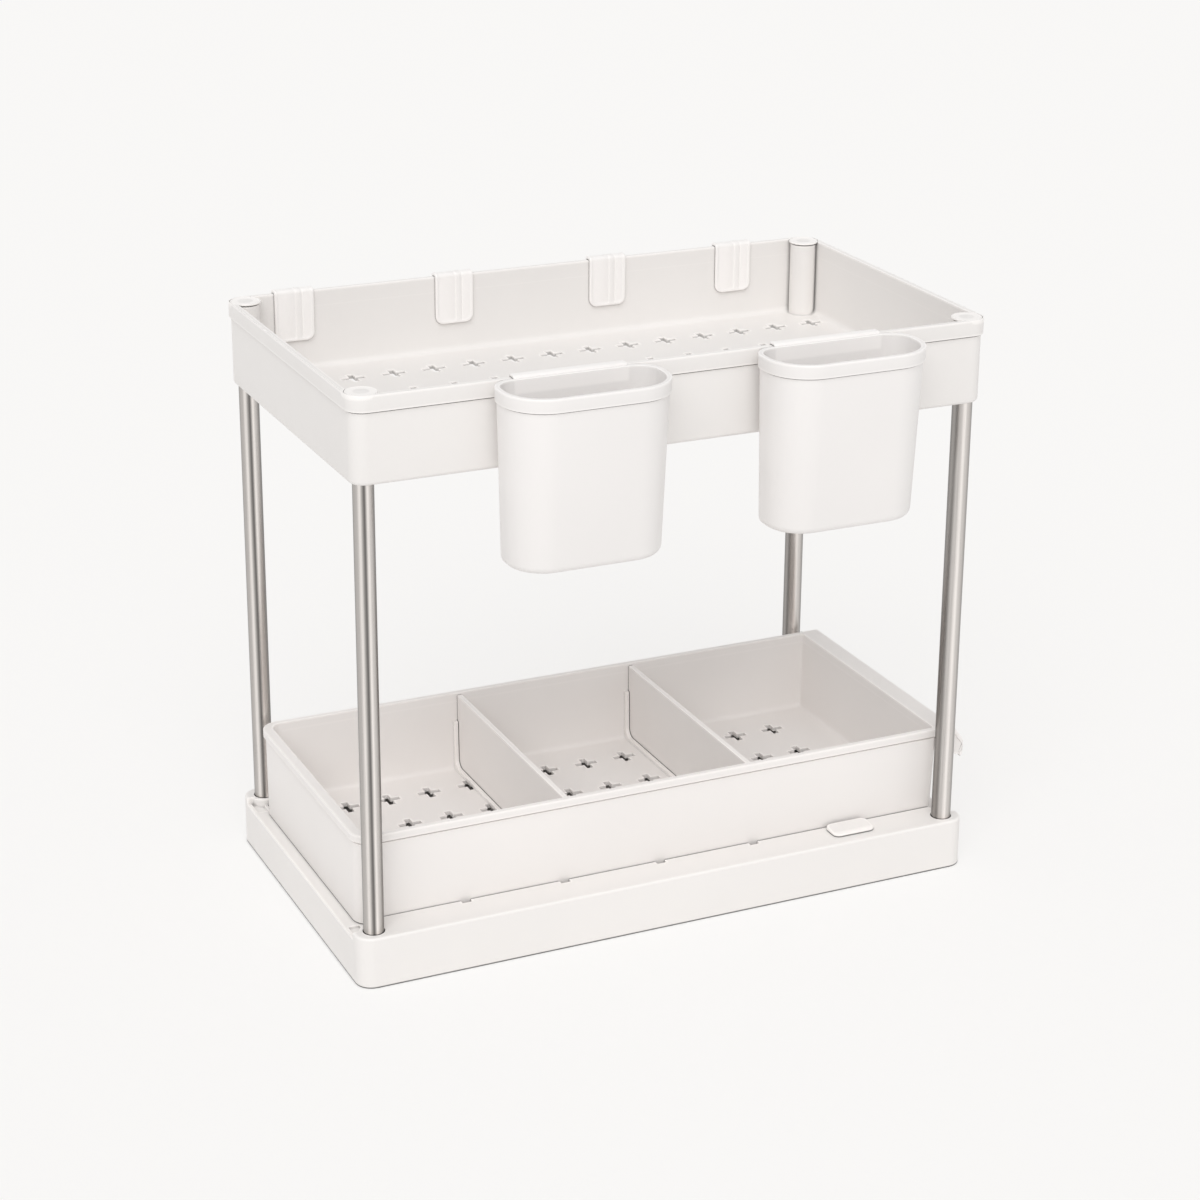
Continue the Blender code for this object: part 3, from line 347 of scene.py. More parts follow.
def soft_profile(corners, steps):
    """Round the corners of an open line. Each corner is two coordinates and a radius."""
    points = []
    for i, (a, b, radius) in enumerate(corners):
        here = Vector((a, b))
        if radius == 0.0 or i in (0, len(corners) - 1):
            points.append((a, b))
            continue
        back = (Vector(corners[i - 1][:2]) - here).normalized()
        ahead = (Vector(corners[i + 1][:2]) - here).normalized()
        angle = back.angle(ahead)
        centre = here + (back + ahead).normalized() * (radius / math.sin(angle / 2))
        reach = radius / math.tan(angle / 2)
        first = here + back * reach - centre
        last = here + ahead * reach - centre
        start = math.atan2(first.y, first.x)
        sweep = (math.atan2(last.y, last.x) - start + math.pi) % (2 * math.pi) - math.pi
        points += arc_points(centre, radius, start, start + sweep, steps)
    return points


def shadow_line(inset, foot, drop, depth, edge):
    """Corners of the fine line under a rim band."""
    return [(inset, foot - drop, edge), (inset + depth, foot - drop, edge),
            (inset + depth, foot, edge)]


def mirrored(half):
    """A line of YZ points with its mirror image on the other side of the middle."""
    return half + [(-y, z) for y, z in reversed(half)]


def on_side(side, near, far):
    """Low and high end of a span on one side of the middle."""
    return sorted((side * near, side * far))


# Mesh helpers

def skin_rings(bm, rings, ends="capped"):
    """Bridge rings of equal count. Their ends are capped, left open or joined up."""
    loops = [[bm.verts.new(point) for point in ring] for ring in rings]
    pairs = list(zip(loops, loops[1:]))
    if ends == "joined":
        pairs.append((loops[-1], loops[0]))
    for lower, upper in pairs:
        total = len(lower)
        for i in range(total):
            j = (i + 1) % total
            bm.faces.new((lower[i], lower[j], upper[j], upper[i]))
    if ends == "capped":
        bm.faces.new(loops[0][::-1])
        bm.faces.new(loops[-1])
    return loops


def sweep_strip(bm, path, shift, steps, width, thickness, edge):
    """Sweep a flat rounded bar along a YZ path. Shift moves the whole bar."""
    outline = rounded_outline(-width / 2, width / 2, -thickness / 2, thickness / 2, [edge] * 4,
                              steps)
    points = [Vector(point) for point in path]
    rings = []
    for i, point in enumerate(points):
        ahead = points[min(i + 1, len(points) - 1)] - points[max(i - 1, 0)]
        normal = Vector((-ahead.y, ahead.x)).normalized()
        spots = [(across, point + normal * out) for across, out in outline]
        rings.append([(shift.x + across, shift.y + spot.x, shift.z + spot.y)
                      for across, spot in spots])
    skin_rings(bm, rings)


def new_object(name, bm):
    """Turn a bmesh into a smooth-shaded object of the scene."""
    bmesh.ops.recalc_face_normals(bm, faces=bm.faces)
    mesh = bpy.data.meshes.new(name)
    bm.to_mesh(mesh)
    bm.free()
    mesh.shade_smooth()
    item = bpy.data.objects.new(name, mesh)
    bpy.context.scene.collection.objects.link(item)
    return item


def skinned(name, rings, ends="capped"):
    """An object whose skin runs over a row of rings."""
    bm = bmesh.new()
    skin_rings(bm, rings, ends)
    return new_object(name, bm)


def straight(name, bodies):
    """An object of straight bodies. Each is an axis, a section across it and its two ends."""
    bm = bmesh.new()
    for axis, section, ends in bodies:
        place = "xyz".index(axis)
        skin_rings(bm, [[(*point[:place], end, *point[place:]) for point in section]
                        for end in ends])
    return new_object(name, bm)


def block(xs, ys, zs):
    """A straight body between two corners."""
    return "z", [(xs[0], ys[0]), (xs[1], ys[0]), (xs[1], ys[1]), (xs[0], ys[1])], zs


def boolean(item, operation, *others):
    """Cut, join or clip an object with others in turn, apply each step and drop the tools."""
    for other in others:
        modifier = item.modifiers.new(operation.lower(), "BOOLEAN")
        modifier.operation = operation
        modifier.solver = "EXACT"
        modifier.object = other
        bpy.context.view_layer.update()
        evaluated = item.evaluated_get(bpy.context.evaluated_depsgraph_get())
        mesh = bpy.data.meshes.new_from_object(evaluated)
        item.modifiers.clear()
        old = item.data
        item.data = mesh
        bpy.data.meshes.remove(old)
        mesh.name = item.name
        mesh.shade_smooth()
        bpy.data.objects.remove(other, do_unlink=True)


def roll_edges(item, detail, times=1.0):
    """Roll the hard edges of a moulding to the edge radius, or to so many times it."""
    radius = times * detail.edge
    bm = bmesh.new()
    bm.from_mesh(item.data)
    bmesh.ops.remove_doubles(bm, verts=bm.verts, dist=radius / WELD_PART)
    bmesh.ops.dissolve_degenerate(bm, edges=bm.edges, dist=radius / SLIVER_PART)
    bm.to_mesh(item.data)
    bm.free()
    item.data.shade_smooth()
    modifier = item.modifiers.new("rolled_edges", "BEVEL")
    modifier.width = radius
    modifier.segments = detail.edge_steps
    modifier.limit_method = "ANGLE"
    modifier.angle_limit = SMOOTH_LIMIT
    modifier.use_clamp_overlap = False
    modifier.harden_normals = True


def keep_creases(item):
    """Shade smooth but keep the creases that are sharper than the limit."""
    item.data.set_sharp_from_angle(angle=SMOOTH_LIMIT)


def dress(item, node, body, finish):
    """Give a piece its finish and its body, and hide the node that it stands for."""
    item.data.materials.clear()
    item.data.materials.append(finish_material(finish))
    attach(item, body)
    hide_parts(node)


def node_centre(node):
    """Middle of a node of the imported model."""
    low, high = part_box(node)
    return (low + high) / 2


def turned(node, suffix, profile, detail, ends="capped"):
    """Turn a piece round the middle of its node, from radius and height pairs."""
    centre = node_centre(node).xy
    piece = skinned(node + suffix, [
        at_height(circle_outline(radius, detail.round_steps, centre), z)
        for radius, z in profile], ends)
    keep_creases(piece)
    return piece


def post_radius():
    """Outer radius of the steel tubes."""
    low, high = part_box("post_front_left")
    return (high.x - low.x) / 2


def post_field(detail, radius, z0, z1):
    """One cylinder at each post."""
    centres = [node_centre("post_" + corner).xy for corner in CORNERS]
    return straight("post_field", [
        ("z", circle_outline(radius, detail.round_steps, centre), (z0, z1))
        for centre in centres])


def plus_outline(x, y, span_across, arm):
    """Counter-clockwise outline of one plus-shaped hole."""
    tip, root = span_across / 2, arm / 2
    points = []
    for turn in range(4):
        cosine = round(math.cos(QUARTER * turn))
        sine = round(math.sin(QUARTER * turn))
        points += [(x + px * cosine - py * sine, y + px * sine + py * cosine)
                   for px, py in ((tip, -root), (tip, root), (root, root))]
    return points


def plus_field(piece, hole, z0, z1):
    """A centred field of plus-shaped holes, with the piece's own counts and pitches."""
    xs = [(i - (piece.columns - 1) / 2) * piece.pitch_x for i in range(piece.columns)]
    ys = [(i - (piece.rows - 1) / 2) * piece.pitch_y for i in range(piece.rows)]
    return straight("plus_field", [
        ("z", plus_outline(x, y, hole.hole_span, hole.hole_arm), (z0, z1))
        for x in xs for y in ys])


# Finishes: reaches in metres, noises as scale, detail and roughness, fades as low and high end
OPENNESS_SAMPLES = 8
SEED_SHARES = (1.0, 0.37, 0.61)
DRIFT = (9.0, 2.0)
PATCHES = (70.0, 3.0)
GRAIN = (2200.0, 2.0)
GRAIN_DEPTH = 0.00025
MIDDLE_NOISE = (0.3, 0.7)
GLOSS_SPREAD = (-0.03, 0.05)
PLASTIC_IOR = 1.46
# Painted shade in inner corners: openness at which it starts and ends
CREVICE_SHADE_FADE = (0.30, 0.75)
# Painted shade in narrow gaps between parts: reach and fade
GAP_SHADE_REACH, GAP_SHADE_FADE = 0.0009, (0.10, 0.80)
# Painted highlight along outer edges: reach inside the piece, and fades for thinness and for
# openness
HIGHLIGHT_REACH, HIGHLIGHT_EDGE_FADE, HIGHLIGHT_OPEN_FADE = 0.0017, (0.70, 0.98), (0.45, 0.80)
# Where the painted shade on a floor's hole walls lies: below the floor's top, above its underside
# and inside its fillets
HOLE_SHADE_FULL, HOLE_SHADE_START = 0.0014, 0.0004
HOLE_SHADE_FOOT = (0.0001, 0.0003)
HOLE_SHADE_SIDE = 0.0002
BRUSH_LINES = (3200.0, 4.0, 0.6)
BRUSH_STRETCH = 0.012
BRUSH_FADE = (0.25, 0.75)
BRUSH_BUMP, BRUSH_DEPTH = 0.08, 0.00005
STEEL_ROUGHNESS = (0.24, 0.36)
STEEL_ANISOTROPY = 0.4
# Painted shade on the tubes where they meet other parts: reach and fade
TUBE_GAP_SHADE_REACH, TUBE_GAP_SHADE_FADE = 0.0012, (0.25, 0.80)
# Painted reflection: tones of a tube from its left edge (-1) to its right edge (1), seen from the
# front left
LEFT_REFLECTION_BANDS = (
    (-0.99, 0.22), (-0.85, 0.46), (-0.52, 0.60), (-0.28, 0.90), (-0.10, 0.56), (0.06, 0.26),
    (0.22, 0.28), (0.42, 0.94), (0.60, 0.74), (0.82, 0.50), (0.98, 0.20),
)
RIGHT_REFLECTION_BANDS = (
    (-0.98, 0.24), (-0.80, 0.40), (-0.55, 0.30), (-0.34, 0.58), (-0.08, 0.66), (0.22, 1.00),
    (0.42, 0.74), (0.70, 0.56), (0.98, 0.22),
)
# Turn at which the painted reflection bands' middle stands, and how far the tones of the far side
# are lifted
REFLECTION_BAND_TURN = 0.1814
FAR_REFLECTION_LIFT = 0.35


def feed(tree, node, inputs):
    """Link a node's inputs to other sockets, or set them to plain values."""
    for name, value in inputs.items():
        if isinstance(value, bpy.types.NodeSocket):
            tree.links.new(value, node.inputs[name])
        else:
            node.inputs[name].default_value = value


def add_node(tree, kind, inputs=None, **settings):
    """A shader node with its settings and inputs. It gives back the node's outputs."""
    node = tree.nodes.new(kind)
    for name, value in settings.items():
        setattr(node, name, value)
    feed(tree, node, inputs or {})
    return node.outputs


def noise(tree, vector, scale, detail, roughness=0.5):
    """A noise texture on a coordinate."""
    return add_node(tree, "ShaderNodeTexNoise", {
        "Vector": vector, "Scale": scale, "Detail": detail, "Roughness": roughness})["Fac"]


def span(tree, value, low, high, to_low, to_high):
    """Map a value from one span to another."""
    return add_node(tree, "ShaderNodeMapRange", {
        "Value": value, "From Min": low, "From Max": high, "To Min": to_low,
        "To Max": to_high})["Result"]


def calculate(tree, operation, *values):
    """Work one number out from others."""
    return add_node(tree, "ShaderNodeMath", dict(enumerate(values)), operation=operation)[0]


def product(tree, *values):
    """Multiply numbers."""
    total = values[0]
    for value in values[1:]:
        total = calculate(tree, "MULTIPLY", total, value)
    return total


def openness(tree, distance, inside=False):
    """How open a place is: low in corners and gaps, or near outer edges when looked at inside."""
    return add_node(tree, "ShaderNodeAmbientOcclusion", {"Distance": distance},
                    samples=OPENNESS_SAMPLES, inside=inside)["AO"]


def scaled_colour(tree, value, factor):
    """A plain colour times a number."""
    plain = add_node(tree, "ShaderNodeRGB")[0]
    plain.default_value = (*value, 1.0)
    return add_node(tree, "ShaderNodeVectorMath", {0: plain, "Scale": factor},
                    operation="SCALE")["Vector"]


def bump(tree, height, strength, distance):
    """A normal that follows a height."""
    return add_node(tree, "ShaderNodeBump", {
        "Height": height, "Strength": strength, "Distance": distance})["Normal"]


def shader_tree(name):
    """A new node material with its tree, its shader and its object coordinates."""
    material = bpy.data.materials.new(name)
    material.use_nodes = True
    tree = material.node_tree
    return material, tree, tree.nodes["Principled BSDF"], add_node(tree, "ShaderNodeTexCoord")


def hole_shade_mask(tree, place, low, high, half):
    """Mask of the painted shade on hole walls: rises to one down the walls of a floor's holes,
    inside the floor's fillets.
    """
    split = add_node(tree, "ShaderNodeSeparateXYZ", {"Vector": place["Object"]})
    foot = [low + gap for gap in HOLE_SHADE_FOOT]
    masks = [span(tree, split["Z"], high - HOLE_SHADE_FULL, high - HOLE_SHADE_START, 1.0, 0.0),
             span(tree, split["Z"], *foot, 0.0, 1.0)]
    for axis, reach in zip("XY", half):
        away = calculate(tree, "ABSOLUTE", split[axis])
        masks.append(span(tree, away, reach - HOLE_SHADE_SIDE, reach, 1.0, 0.0))
    return product(tree, *masks)


def satin_plastic(name, tone, finish, seed, reach, holes):
    """Moulded polypropylene: fine grain and slow colour drift, with painted shade in crevices, in
    narrow gaps and down hole walls, and painted highlights along outer edges.
    """
    material, tree, shader, place = shader_tree(name)
    vector = add_node(tree, "ShaderNodeMapping", {
        "Vector": place["Object"],
        "Location": [part * seed for part in SEED_SHARES]})["Vector"]
    # Openness near by: it paints shade into inner corners and keeps the painted edge highlight off
    # enclosed edges
    corner = openness(tree, reach)
    shades = [span(tree, noise(tree, vector, *DRIFT), *MIDDLE_NOISE, 1.0 - finish.cloud,
                   1.0 + finish.cloud / 2),
              span(tree, corner, *CREVICE_SHADE_FADE, 1.0 - finish.painted_crevice_shade, 1.0)]
    # Painted shade on the walls of the holes in a floor
    if holes:
        wall = hole_shade_mask(tree, place, *holes)
        shades.append(span(tree, wall, 0.0, 1.0, 1.0, 1.0 - finish.depth))
    # Painted shade in narrow gaps between parts
    gap = openness(tree, GAP_SHADE_REACH)
    shades.append(span(tree, gap, *GAP_SHADE_FADE, 1.0 - finish.seam, 1.0))
    # Painted highlight along convex outer edges, kept off enclosed edges
    thin = openness(tree, HIGHLIGHT_REACH, inside=True)
    edge = product(tree, span(tree, thin, *HIGHLIGHT_EDGE_FADE, 1.0, 0.0),
                   span(tree, corner, *HIGHLIGHT_OPEN_FADE, 0.0, 1.0))
    shades.append(span(tree, edge, 0.0, 1.0, 1.0, finish.painted_edge_highlight / max(tone)))
    low, high = GLOSS_SPREAD
    feed(tree, shader, {
        "Base Color": scaled_colour(tree, tone, product(tree, *shades)),
        "Roughness": span(tree, noise(tree, vector, *PATCHES), *MIDDLE_NOISE,
                          finish.gloss + low, finish.gloss + high),
        "Normal": bump(tree, noise(tree, vector, *GRAIN), finish.grain, GRAIN_DEPTH),
        "IOR": PLASTIC_IOR,
        "Subsurface Weight": 0.0,
    })
    return material


def reflection_band_stops(reflection_bands):
    """Places of the painted reflection bands round the tube, in turns, with the far side as a
    softer mirror image.
    """
    stops = []
    for across, tone in reflection_bands:
        turn = math.asin(across) / (2 * math.pi)
        stops.append(((REFLECTION_BAND_TURN + turn) % 1.0, tone))
        stops.append(((REFLECTION_BAND_TURN + 0.5 - turn) % 1.0, FAR_REFLECTION_LIFT + (1.0 - FAR_REFLECTION_LIFT) * tone))
    stops.sort()
    # Tone of the painted reflection where the ramp closes on itself
    seam = (stops[0][1] + stops[-1][1]) / 2
    return [(0.0, seam)] + stops + [(1.0, seam)]


def brushed_steel(name, finish, stops):
    """Drawn steel tube: painted reflection bands round it, painted shade where it meets other
    parts and fine lines along it.
    """
    material, tree, shader, place = shader_tree(name)
    split = add_node(tree, "ShaderNodeSeparateXYZ", {"Vector": place["Normal"]})
    around = span(tree, calculate(tree, "ARCTAN2", split["Y"], split["X"]), -math.pi, math.pi,
                  0.0, 1.0)
    # Painted reflection: a ramp of tones by the way the surface faces round the tube
    reflection_bands = tree.nodes.new("ShaderNodeValToRGB")
    feed(tree, reflection_bands, {"Fac": around})
    reflection_bands.color_ramp.interpolation = "CARDINAL"
    elements = reflection_bands.color_ramp.elements
    while len(elements) > 1:
        elements.remove(elements[-1])
    for i, (spot, tone) in enumerate(stops):
        element = elements[0] if i == 0 else elements.new(spot)
        element.position = spot
        element.color = (tone, tone, tone, 1.0)

    stretch = add_node(tree, "ShaderNodeMapping", {
        "Vector": place["Object"], "Scale": (1.0, 1.0, BRUSH_STRETCH)})["Vector"]
    lines = noise(tree, stretch, *BRUSH_LINES)
    streak = span(tree, lines, *BRUSH_FADE, 1.0 - finish.brush, 1.0 + finish.brush)
    # Painted shade on the tube where it meets other parts
    seam = span(tree, openness(tree, TUBE_GAP_SHADE_REACH), *TUBE_GAP_SHADE_FADE, 1.0 - finish.seam, 1.0)
    tone = scaled_colour(tree, finish.steel, product(tree, streak, seam))
    mix = add_node(tree, "ShaderNodeMix", {
        "Factor": 1.0, "A": tone, "B": reflection_bands.outputs["Color"]},
        data_type="RGBA", blend_type="MULTIPLY")
    feed(tree, shader, {
        "Base Color": mix["Result"],
        "Metallic": 1.0,
        "Roughness": span(tree, lines, *BRUSH_FADE, *STEEL_ROUGHNESS),
        "Anisotropic": STEEL_ANISOTROPY,
        "Normal": bump(tree, lines, BRUSH_BUMP, BRUSH_DEPTH),
    })
    return material


def finish_material(name):
    """Find a finish by name, or make it from the settings."""
    found = bpy.data.materials.get(name)
    if found is not None:
        return found
    settings = bpy.context.scene.organizer
    finish, tray = settings.finish, settings.tray
    inset = tray.rim_proud + tray.wall + tray.floor_fillet
    tray_hole_shade = (TRAY_LOW.z, TRAY_LOW.z + tray.floor, (RIM_END - inset, RIM_SIDE - inset))
    # Colour, place in the noise, reach of the painted crevice shade and the floor whose hole walls
    # get painted shade
    plastics = {
        "shell_plastic": (finish.shell, 1.0, 0.0032, None),
        "tray_plastic_painted_hole_shade": (finish.shell, 1.0, 0.0032, tray_hole_shade),
        "cup_plastic": (finish.cups, 3.2, 0.0020, None),
        "drawer_plastic": (finish.drawer, 2.3, 0.0014, None),
        "divider_plastic": (finish.insert, 4.1, 0.0014, None),
    }
    if name in plastics:
        tone, seed, reach, holes = plastics[name]
        return satin_plastic(name, tuple(tone), finish, seed, reach, holes)
    # Left and right tubes get different painted reflections
    reflection_bands = LEFT_REFLECTION_BANDS if name.endswith("left") else RIGHT_REFLECTION_BANDS
    return brushed_steel(name, finish, reflection_band_stops(reflection_bands))


# Base and stop clip
# Radius of the clip's corners, height of its low front and roll of its edges in edge radii, then
# its tongue and barb
PLATE_CORNER = 0.004
PLATE_FRONT = 0.0013
PLATE_ROLL = 1.5
TONGUE_RISE = 0.0006
BARB_REACH = 0.0012
BARB_HEIGHT = 0.0018


def bay_section(base):
    """Section of the drawer bay with its two runner tracks."""
    bay = SIDE - base.ledge_width
    rail = bay - base.rail_width
    track = bay + base.track_width
    sill = BASE_HIGH.z - base.sill_drop
    track_top = BASE_HIGH.z - base.ledge_plate
    track_floor = track_top - base.track_height
    return mirrored([(rail, base.floor), (rail, sill), (bay, sill), (bay, track_floor),
                     (track, track_floor), (track, track_top), (bay, track_top),
                     (bay, BASE_HIGH.z + CUT)])


def base_block(base, detail):
    """Outer block of the base with a rolled top edge."""
    profile = soft_profile([(3 * base.foot_edge, 0.0, 0.0), (0.0, 0.0, base.foot_edge),
                            (0.0, BASE_HIGH.z, base.top_edge),
                            (2 * base.top_edge, BASE_HIGH.z, 0.0)], 2 * detail.edge_steps)
    return skinned("base_frame_moulding", [
        centred_ring(END, SIDE, base.corner, inset, z, detail.corner_steps)
        for inset, z in profile])


def end_recess(base, detail):
    """Cutter that lowers both ends to the sills but spares the round bosses."""
    top = BASE_HIGH.z
    sill = top - base.sill_drop
    bay = END - base.sill_width
    side = SIDE - base.ledge_width + base.recess_margin
    boss = post_radius() + detail.fit + base.boss_wall
    pocket = node_centre("post_back_right").y - boss - base.pocket_length
    pocket_floor = sill - base.pocket_drop
    recess = straight("end_recess", [
        block(on_side(turn, bay - CUT, END + CUT), (-side, side), (sill, top + CUT))
        for turn in SIDES])
    boolean(recess, "UNION", straight("sill_pockets", [
        block(on_side(turn_x, bay + base.pocket_rim, END - base.pocket_rim),
              on_side(turn_y, pocket, side), (pocket_floor, sill + CUT))
        for turn_x in SIDES for turn_y in SIDES]))
    boolean(recess, "DIFFERENCE",
            post_field(detail, boss, pocket_floor - CUT, top + 2 * CUT))
    return recess


def ledge_cores(base):
    """Hollows below both ledges, with ribs between them."""
    run = 2 * (END - base.core_end)
    cell = (run - (base.core_cells - 1) * base.core_rib) / base.core_cells
    inner = SIDE - base.ledge_width + base.track_width + base.wall
    starts = [i * (cell + base.core_rib) - run / 2 for i in range(base.core_cells)]
    return straight("ledge_cores", [
        block((x, x + cell), on_side(turn, inner, SIDE - base.wall),
              (-CUT, BASE_HIGH.z - base.ledge_plate))
        for turn in SIDES for x in starts])


def ledge_notches(base):
    """Small notches in the inner edge of both ledges."""
    bay = SIDE - base.ledge_width
    half = base.notch_length / 2
    places = [(i - base.notch_count // 2) * base.notch_pitch for i in range(base.notch_count)]
    return straight("ledge_notches", [
        block((x - half, x + half), on_side(turn, bay - CUT, bay + base.notch_depth),
              (BASE_HIGH.z - base.ledge_plate - CUT, BASE_HIGH.z + CUT))
        for x in places for turn in SIDES])


class ORGANIZER_OT_base(bpy.types.Operator):
    """Mould the base with its ledges, sills, tracks and post sockets"""
    bl_idname = "organizer.base"
    bl_label = "Base"

    def execute(self, context):
        settings = context.scene.organizer
        base, detail = settings.base, settings.detail
        bay_end = END - base.sill_width
        moulding = base_block(base, detail)
        boolean(moulding, "DIFFERENCE",
                straight("bay", [("x", bay_section(base), (-bay_end, bay_end))]),
                end_recess(base, detail), ledge_cores(base), ledge_notches(base),
                post_field(detail, post_radius() + detail.fit, base.socket_floor,
                           BASE_HIGH.z + CUT))
        roll_edges(moulding, detail)
        dress(moulding, "base_frame", "frame", "shell_plastic")
        return {"FINISHED"}


class ORGANIZER_OT_stop_clip(bpy.types.Operator):
    """Mould the clip that stops the drawer, with its tongue and barb"""
    bl_idname = "organizer.stop_clip"
    bl_label = "Stop clip"

    def execute(self, context):
        settings = context.scene.organizer
        base, detail = settings.base, settings.detail
        bay = SIDE - base.ledge_width
        foot = BASE_HIGH.z + detail.fit
        front, back = CLIP_LOW.y, -(bay + base.notch_depth / 2)
        outline = rounded_outline(CLIP_LOW.x, CLIP_HIGH.x, front, back, [PLATE_CORNER] * 4,
                                  detail.corner_steps)
        rise = CLIP_HIGH.z - foot - PLATE_FRONT
        top = [(x, y, foot + PLATE_FRONT + rise * ((y - front) / (back - front)))
               for x, y in outline]
        plate = skinned("drawer_stop_clip_moulding", [at_height(outline, foot), top])

        inner = -(bay + detail.fit)
        outer = -(bay + base.notch_depth - detail.fit)
        root = foot + TONGUE_RISE
        barb = BASE_HIGH.z - base.ledge_plate - detail.fit
        section = [(inner, CLIP_LOW.z), (inner, root), (outer, root), (outer, barb),
                   (outer - BARB_REACH, barb), (outer, barb - BARB_HEIGHT), (outer, CLIP_LOW.z)]
        half = base.notch_length / 2 - detail.fit
        middle = (CLIP_LOW.x + CLIP_HIGH.x) / 2
        boolean(plate, "UNION",
                straight("clip_tongue", [("x", section, (middle - half, middle + half))]))
        roll_edges(plate, detail, PLATE_ROLL)
        dress(plate, "drawer_stop_clip", "frame", "shell_plastic")
        return {"FINISHED"}


# Posts and caps
# Radii on a cap: at the plug's tip, under and over the disc, inside its rim and in its dish
PLUG_EDGE = 0.0008
DISC_FOOT_EDGE = 0.0002
DISC_TOP_EDGE = 0.00045
RIM_INNER_EDGE = 0.0003
DISH_EDGE = 0.0004


class ORGANIZER_OT_posts(bpy.types.Operator):
    """Draw the four steel tubes"""
    bl_idname = "organizer.posts"
    bl_label = "Posts"

    def execute(self, context):
        settings = context.scene.organizer
        posts, detail = settings.posts, settings.detail
        outer = post_radius()
        inner = outer - posts.wall
        edge = posts.tube_edge
        for corner in CORNERS:
            node = "post_" + corner
            low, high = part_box(node)
            profile = [(outer, high.z - edge), (outer - edge, high.z), (inner + edge, high.z),
                       (inner, high.z - edge), (inner, low.z + edge), (inner + edge, low.z),
                       (outer - edge, low.z), (outer, low.z + edge)]
            # Left and right tubes get steel copies with different painted reflections
            dress(turned(node, "_tube", profile, detail, "joined"), node, "frame",
                  "tube_steel_" + corner.split("_")[1])
        return {"FINISHED"}


class ORGANIZER_OT_caps(bpy.types.Operator):
    """Turn the four dished caps with their plugs"""
    bl_idname = "organizer.caps"
    bl_label = "Caps"

    def execute(self, context):
        settings = context.scene.organizer
        posts, detail = settings.posts, settings.detail
        plug = post_radius() - posts.wall - posts.plug_fit
        for corner in CORNERS:
            node = "cap_" + corner
            low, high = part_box(node)
            radius = (high.x - low.x) / 2
            collar = low.z + posts.plug_length
            disc = high.z - posts.cap_disc
            rim = radius - posts.cap_rim
            dish = high.z - posts.cap_dish
            profile = soft_profile([
                (plug / 2, low.z, 0.0), (plug, low.z, PLUG_EDGE), (plug, collar, 0.0),
                (posts.cap_collar, collar, 0.0), (posts.cap_collar, disc, 0.0),
                (radius, disc, DISC_FOOT_EDGE), (radius, high.z, DISC_TOP_EDGE),
                (rim, high.z, RIM_INNER_EDGE), (rim - posts.cap_dish, dish, DISH_EDGE),
                (rim / 3, dish, 0.0),
            ], detail.edge_steps)
            dress(turned(node, "_moulding", profile, detail), node, "frame", "shell_plastic")
        return {"FINISHED"}


# Upper tray
# Run of the floor beyond its fillet, in radii of the fillet
FLOOR_RUN = 1.02


def tray_shell(tray, detail):
    """Open shell of the tray, from the underside over the rim to the floor."""
    floor = TRAY_LOW.z + tray.floor
    inset = tray.rim_proud + tray.wall
    rim_foot = RIM_TOP - tray.rim_height
    profile = soft_profile([
        (tray.rim_proud + 2 * tray.foot_edge, TRAY_LOW.z, 0.0),
        (tray.rim_proud, TRAY_LOW.z, tray.foot_edge),
        *shadow_line(tray.rim_proud, rim_foot, detail.rim_line, detail.rim_line,
                     detail.line_edge),
        (0.0, rim_foot, detail.edge),
        (0.0, RIM_TOP, tray.rim_edge),
        (inset, RIM_TOP, tray.rim_edge),
        (inset, floor, tray.floor_fillet),
        (inset + FLOOR_RUN * tray.floor_fillet, floor, 0.0),
    ], detail.edge_steps + 1)
    return skinned("upper_tray_moulding", [
        centred_ring(RIM_END, RIM_SIDE, tray.corner, step, z, detail.corner_steps)
        for step, z in profile])


class ORGANIZER_OT_tray(bpy.types.Operator):
    """Mould the upper tray with its drain holes and corner columns"""
    bl_idname = "organizer.tray"
    bl_label = "Upper tray"

    def execute(self, context):
        settings = context.scene.organizer
        tray, posts, detail = settings.tray, settings.posts, settings.detail
        floor = TRAY_LOW.z + tray.floor
        under = TRAY_LOW.z - CUT
        above = RIM_TOP + CUT
        tube = post_radius()
        tube_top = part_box("post_front_left")[1].z
        cap_low, cap_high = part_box("cap_front_left")
        column_top = cap_low.z + posts.plug_length - detail.fit
        seat = cap_high.z - posts.cap_thickness - detail.fit
        seat_radius = (cap_high.x - cap_low.x) / 2 + detail.fit / 3
        bore = tube - posts.wall - posts.plug_fit + detail.fit
        shell = tray_shell(tray, detail)
        boolean(shell, "DIFFERENCE", plus_field(tray, tray, under, floor + CUT))
        boolean(shell, "UNION", post_field(detail, tube + detail.fit + tray.column_wall,
                                           floor - tray.floor / 2, column_top))
        boolean(shell, "DIFFERENCE", post_field(detail, seat_radius, seat, above),
                post_field(detail, tube + detail.fit, under, tube_top + detail.fit),
                post_field(detail, bore, tube_top - CUT, above))
        roll_edges(shell, detail)
        # The tray's plastic has painted shade down the walls of its holes
        dress(shell, "upper_tray", "frame", "tray_plastic_painted_hole_shade")
        return {"FINISHED"}


# Drawer and dividers, with heights above the skirt's foot
GRIP_SLOPE = math.radians(36.0)
CURL_END = math.radians(-60.0)
CURL_STEPS = 16


def drawer_places(settings):
    """Left end, right end, foot height and rim height of the drawer."""
    drawer, base = settings.drawer, settings.base
    foot = BASE_HIGH.z - base.sill_drop + settings.detail.fit
    return drawer.left_setback - END, END - drawer.right_setback, foot, DRAWER_TOP - foot


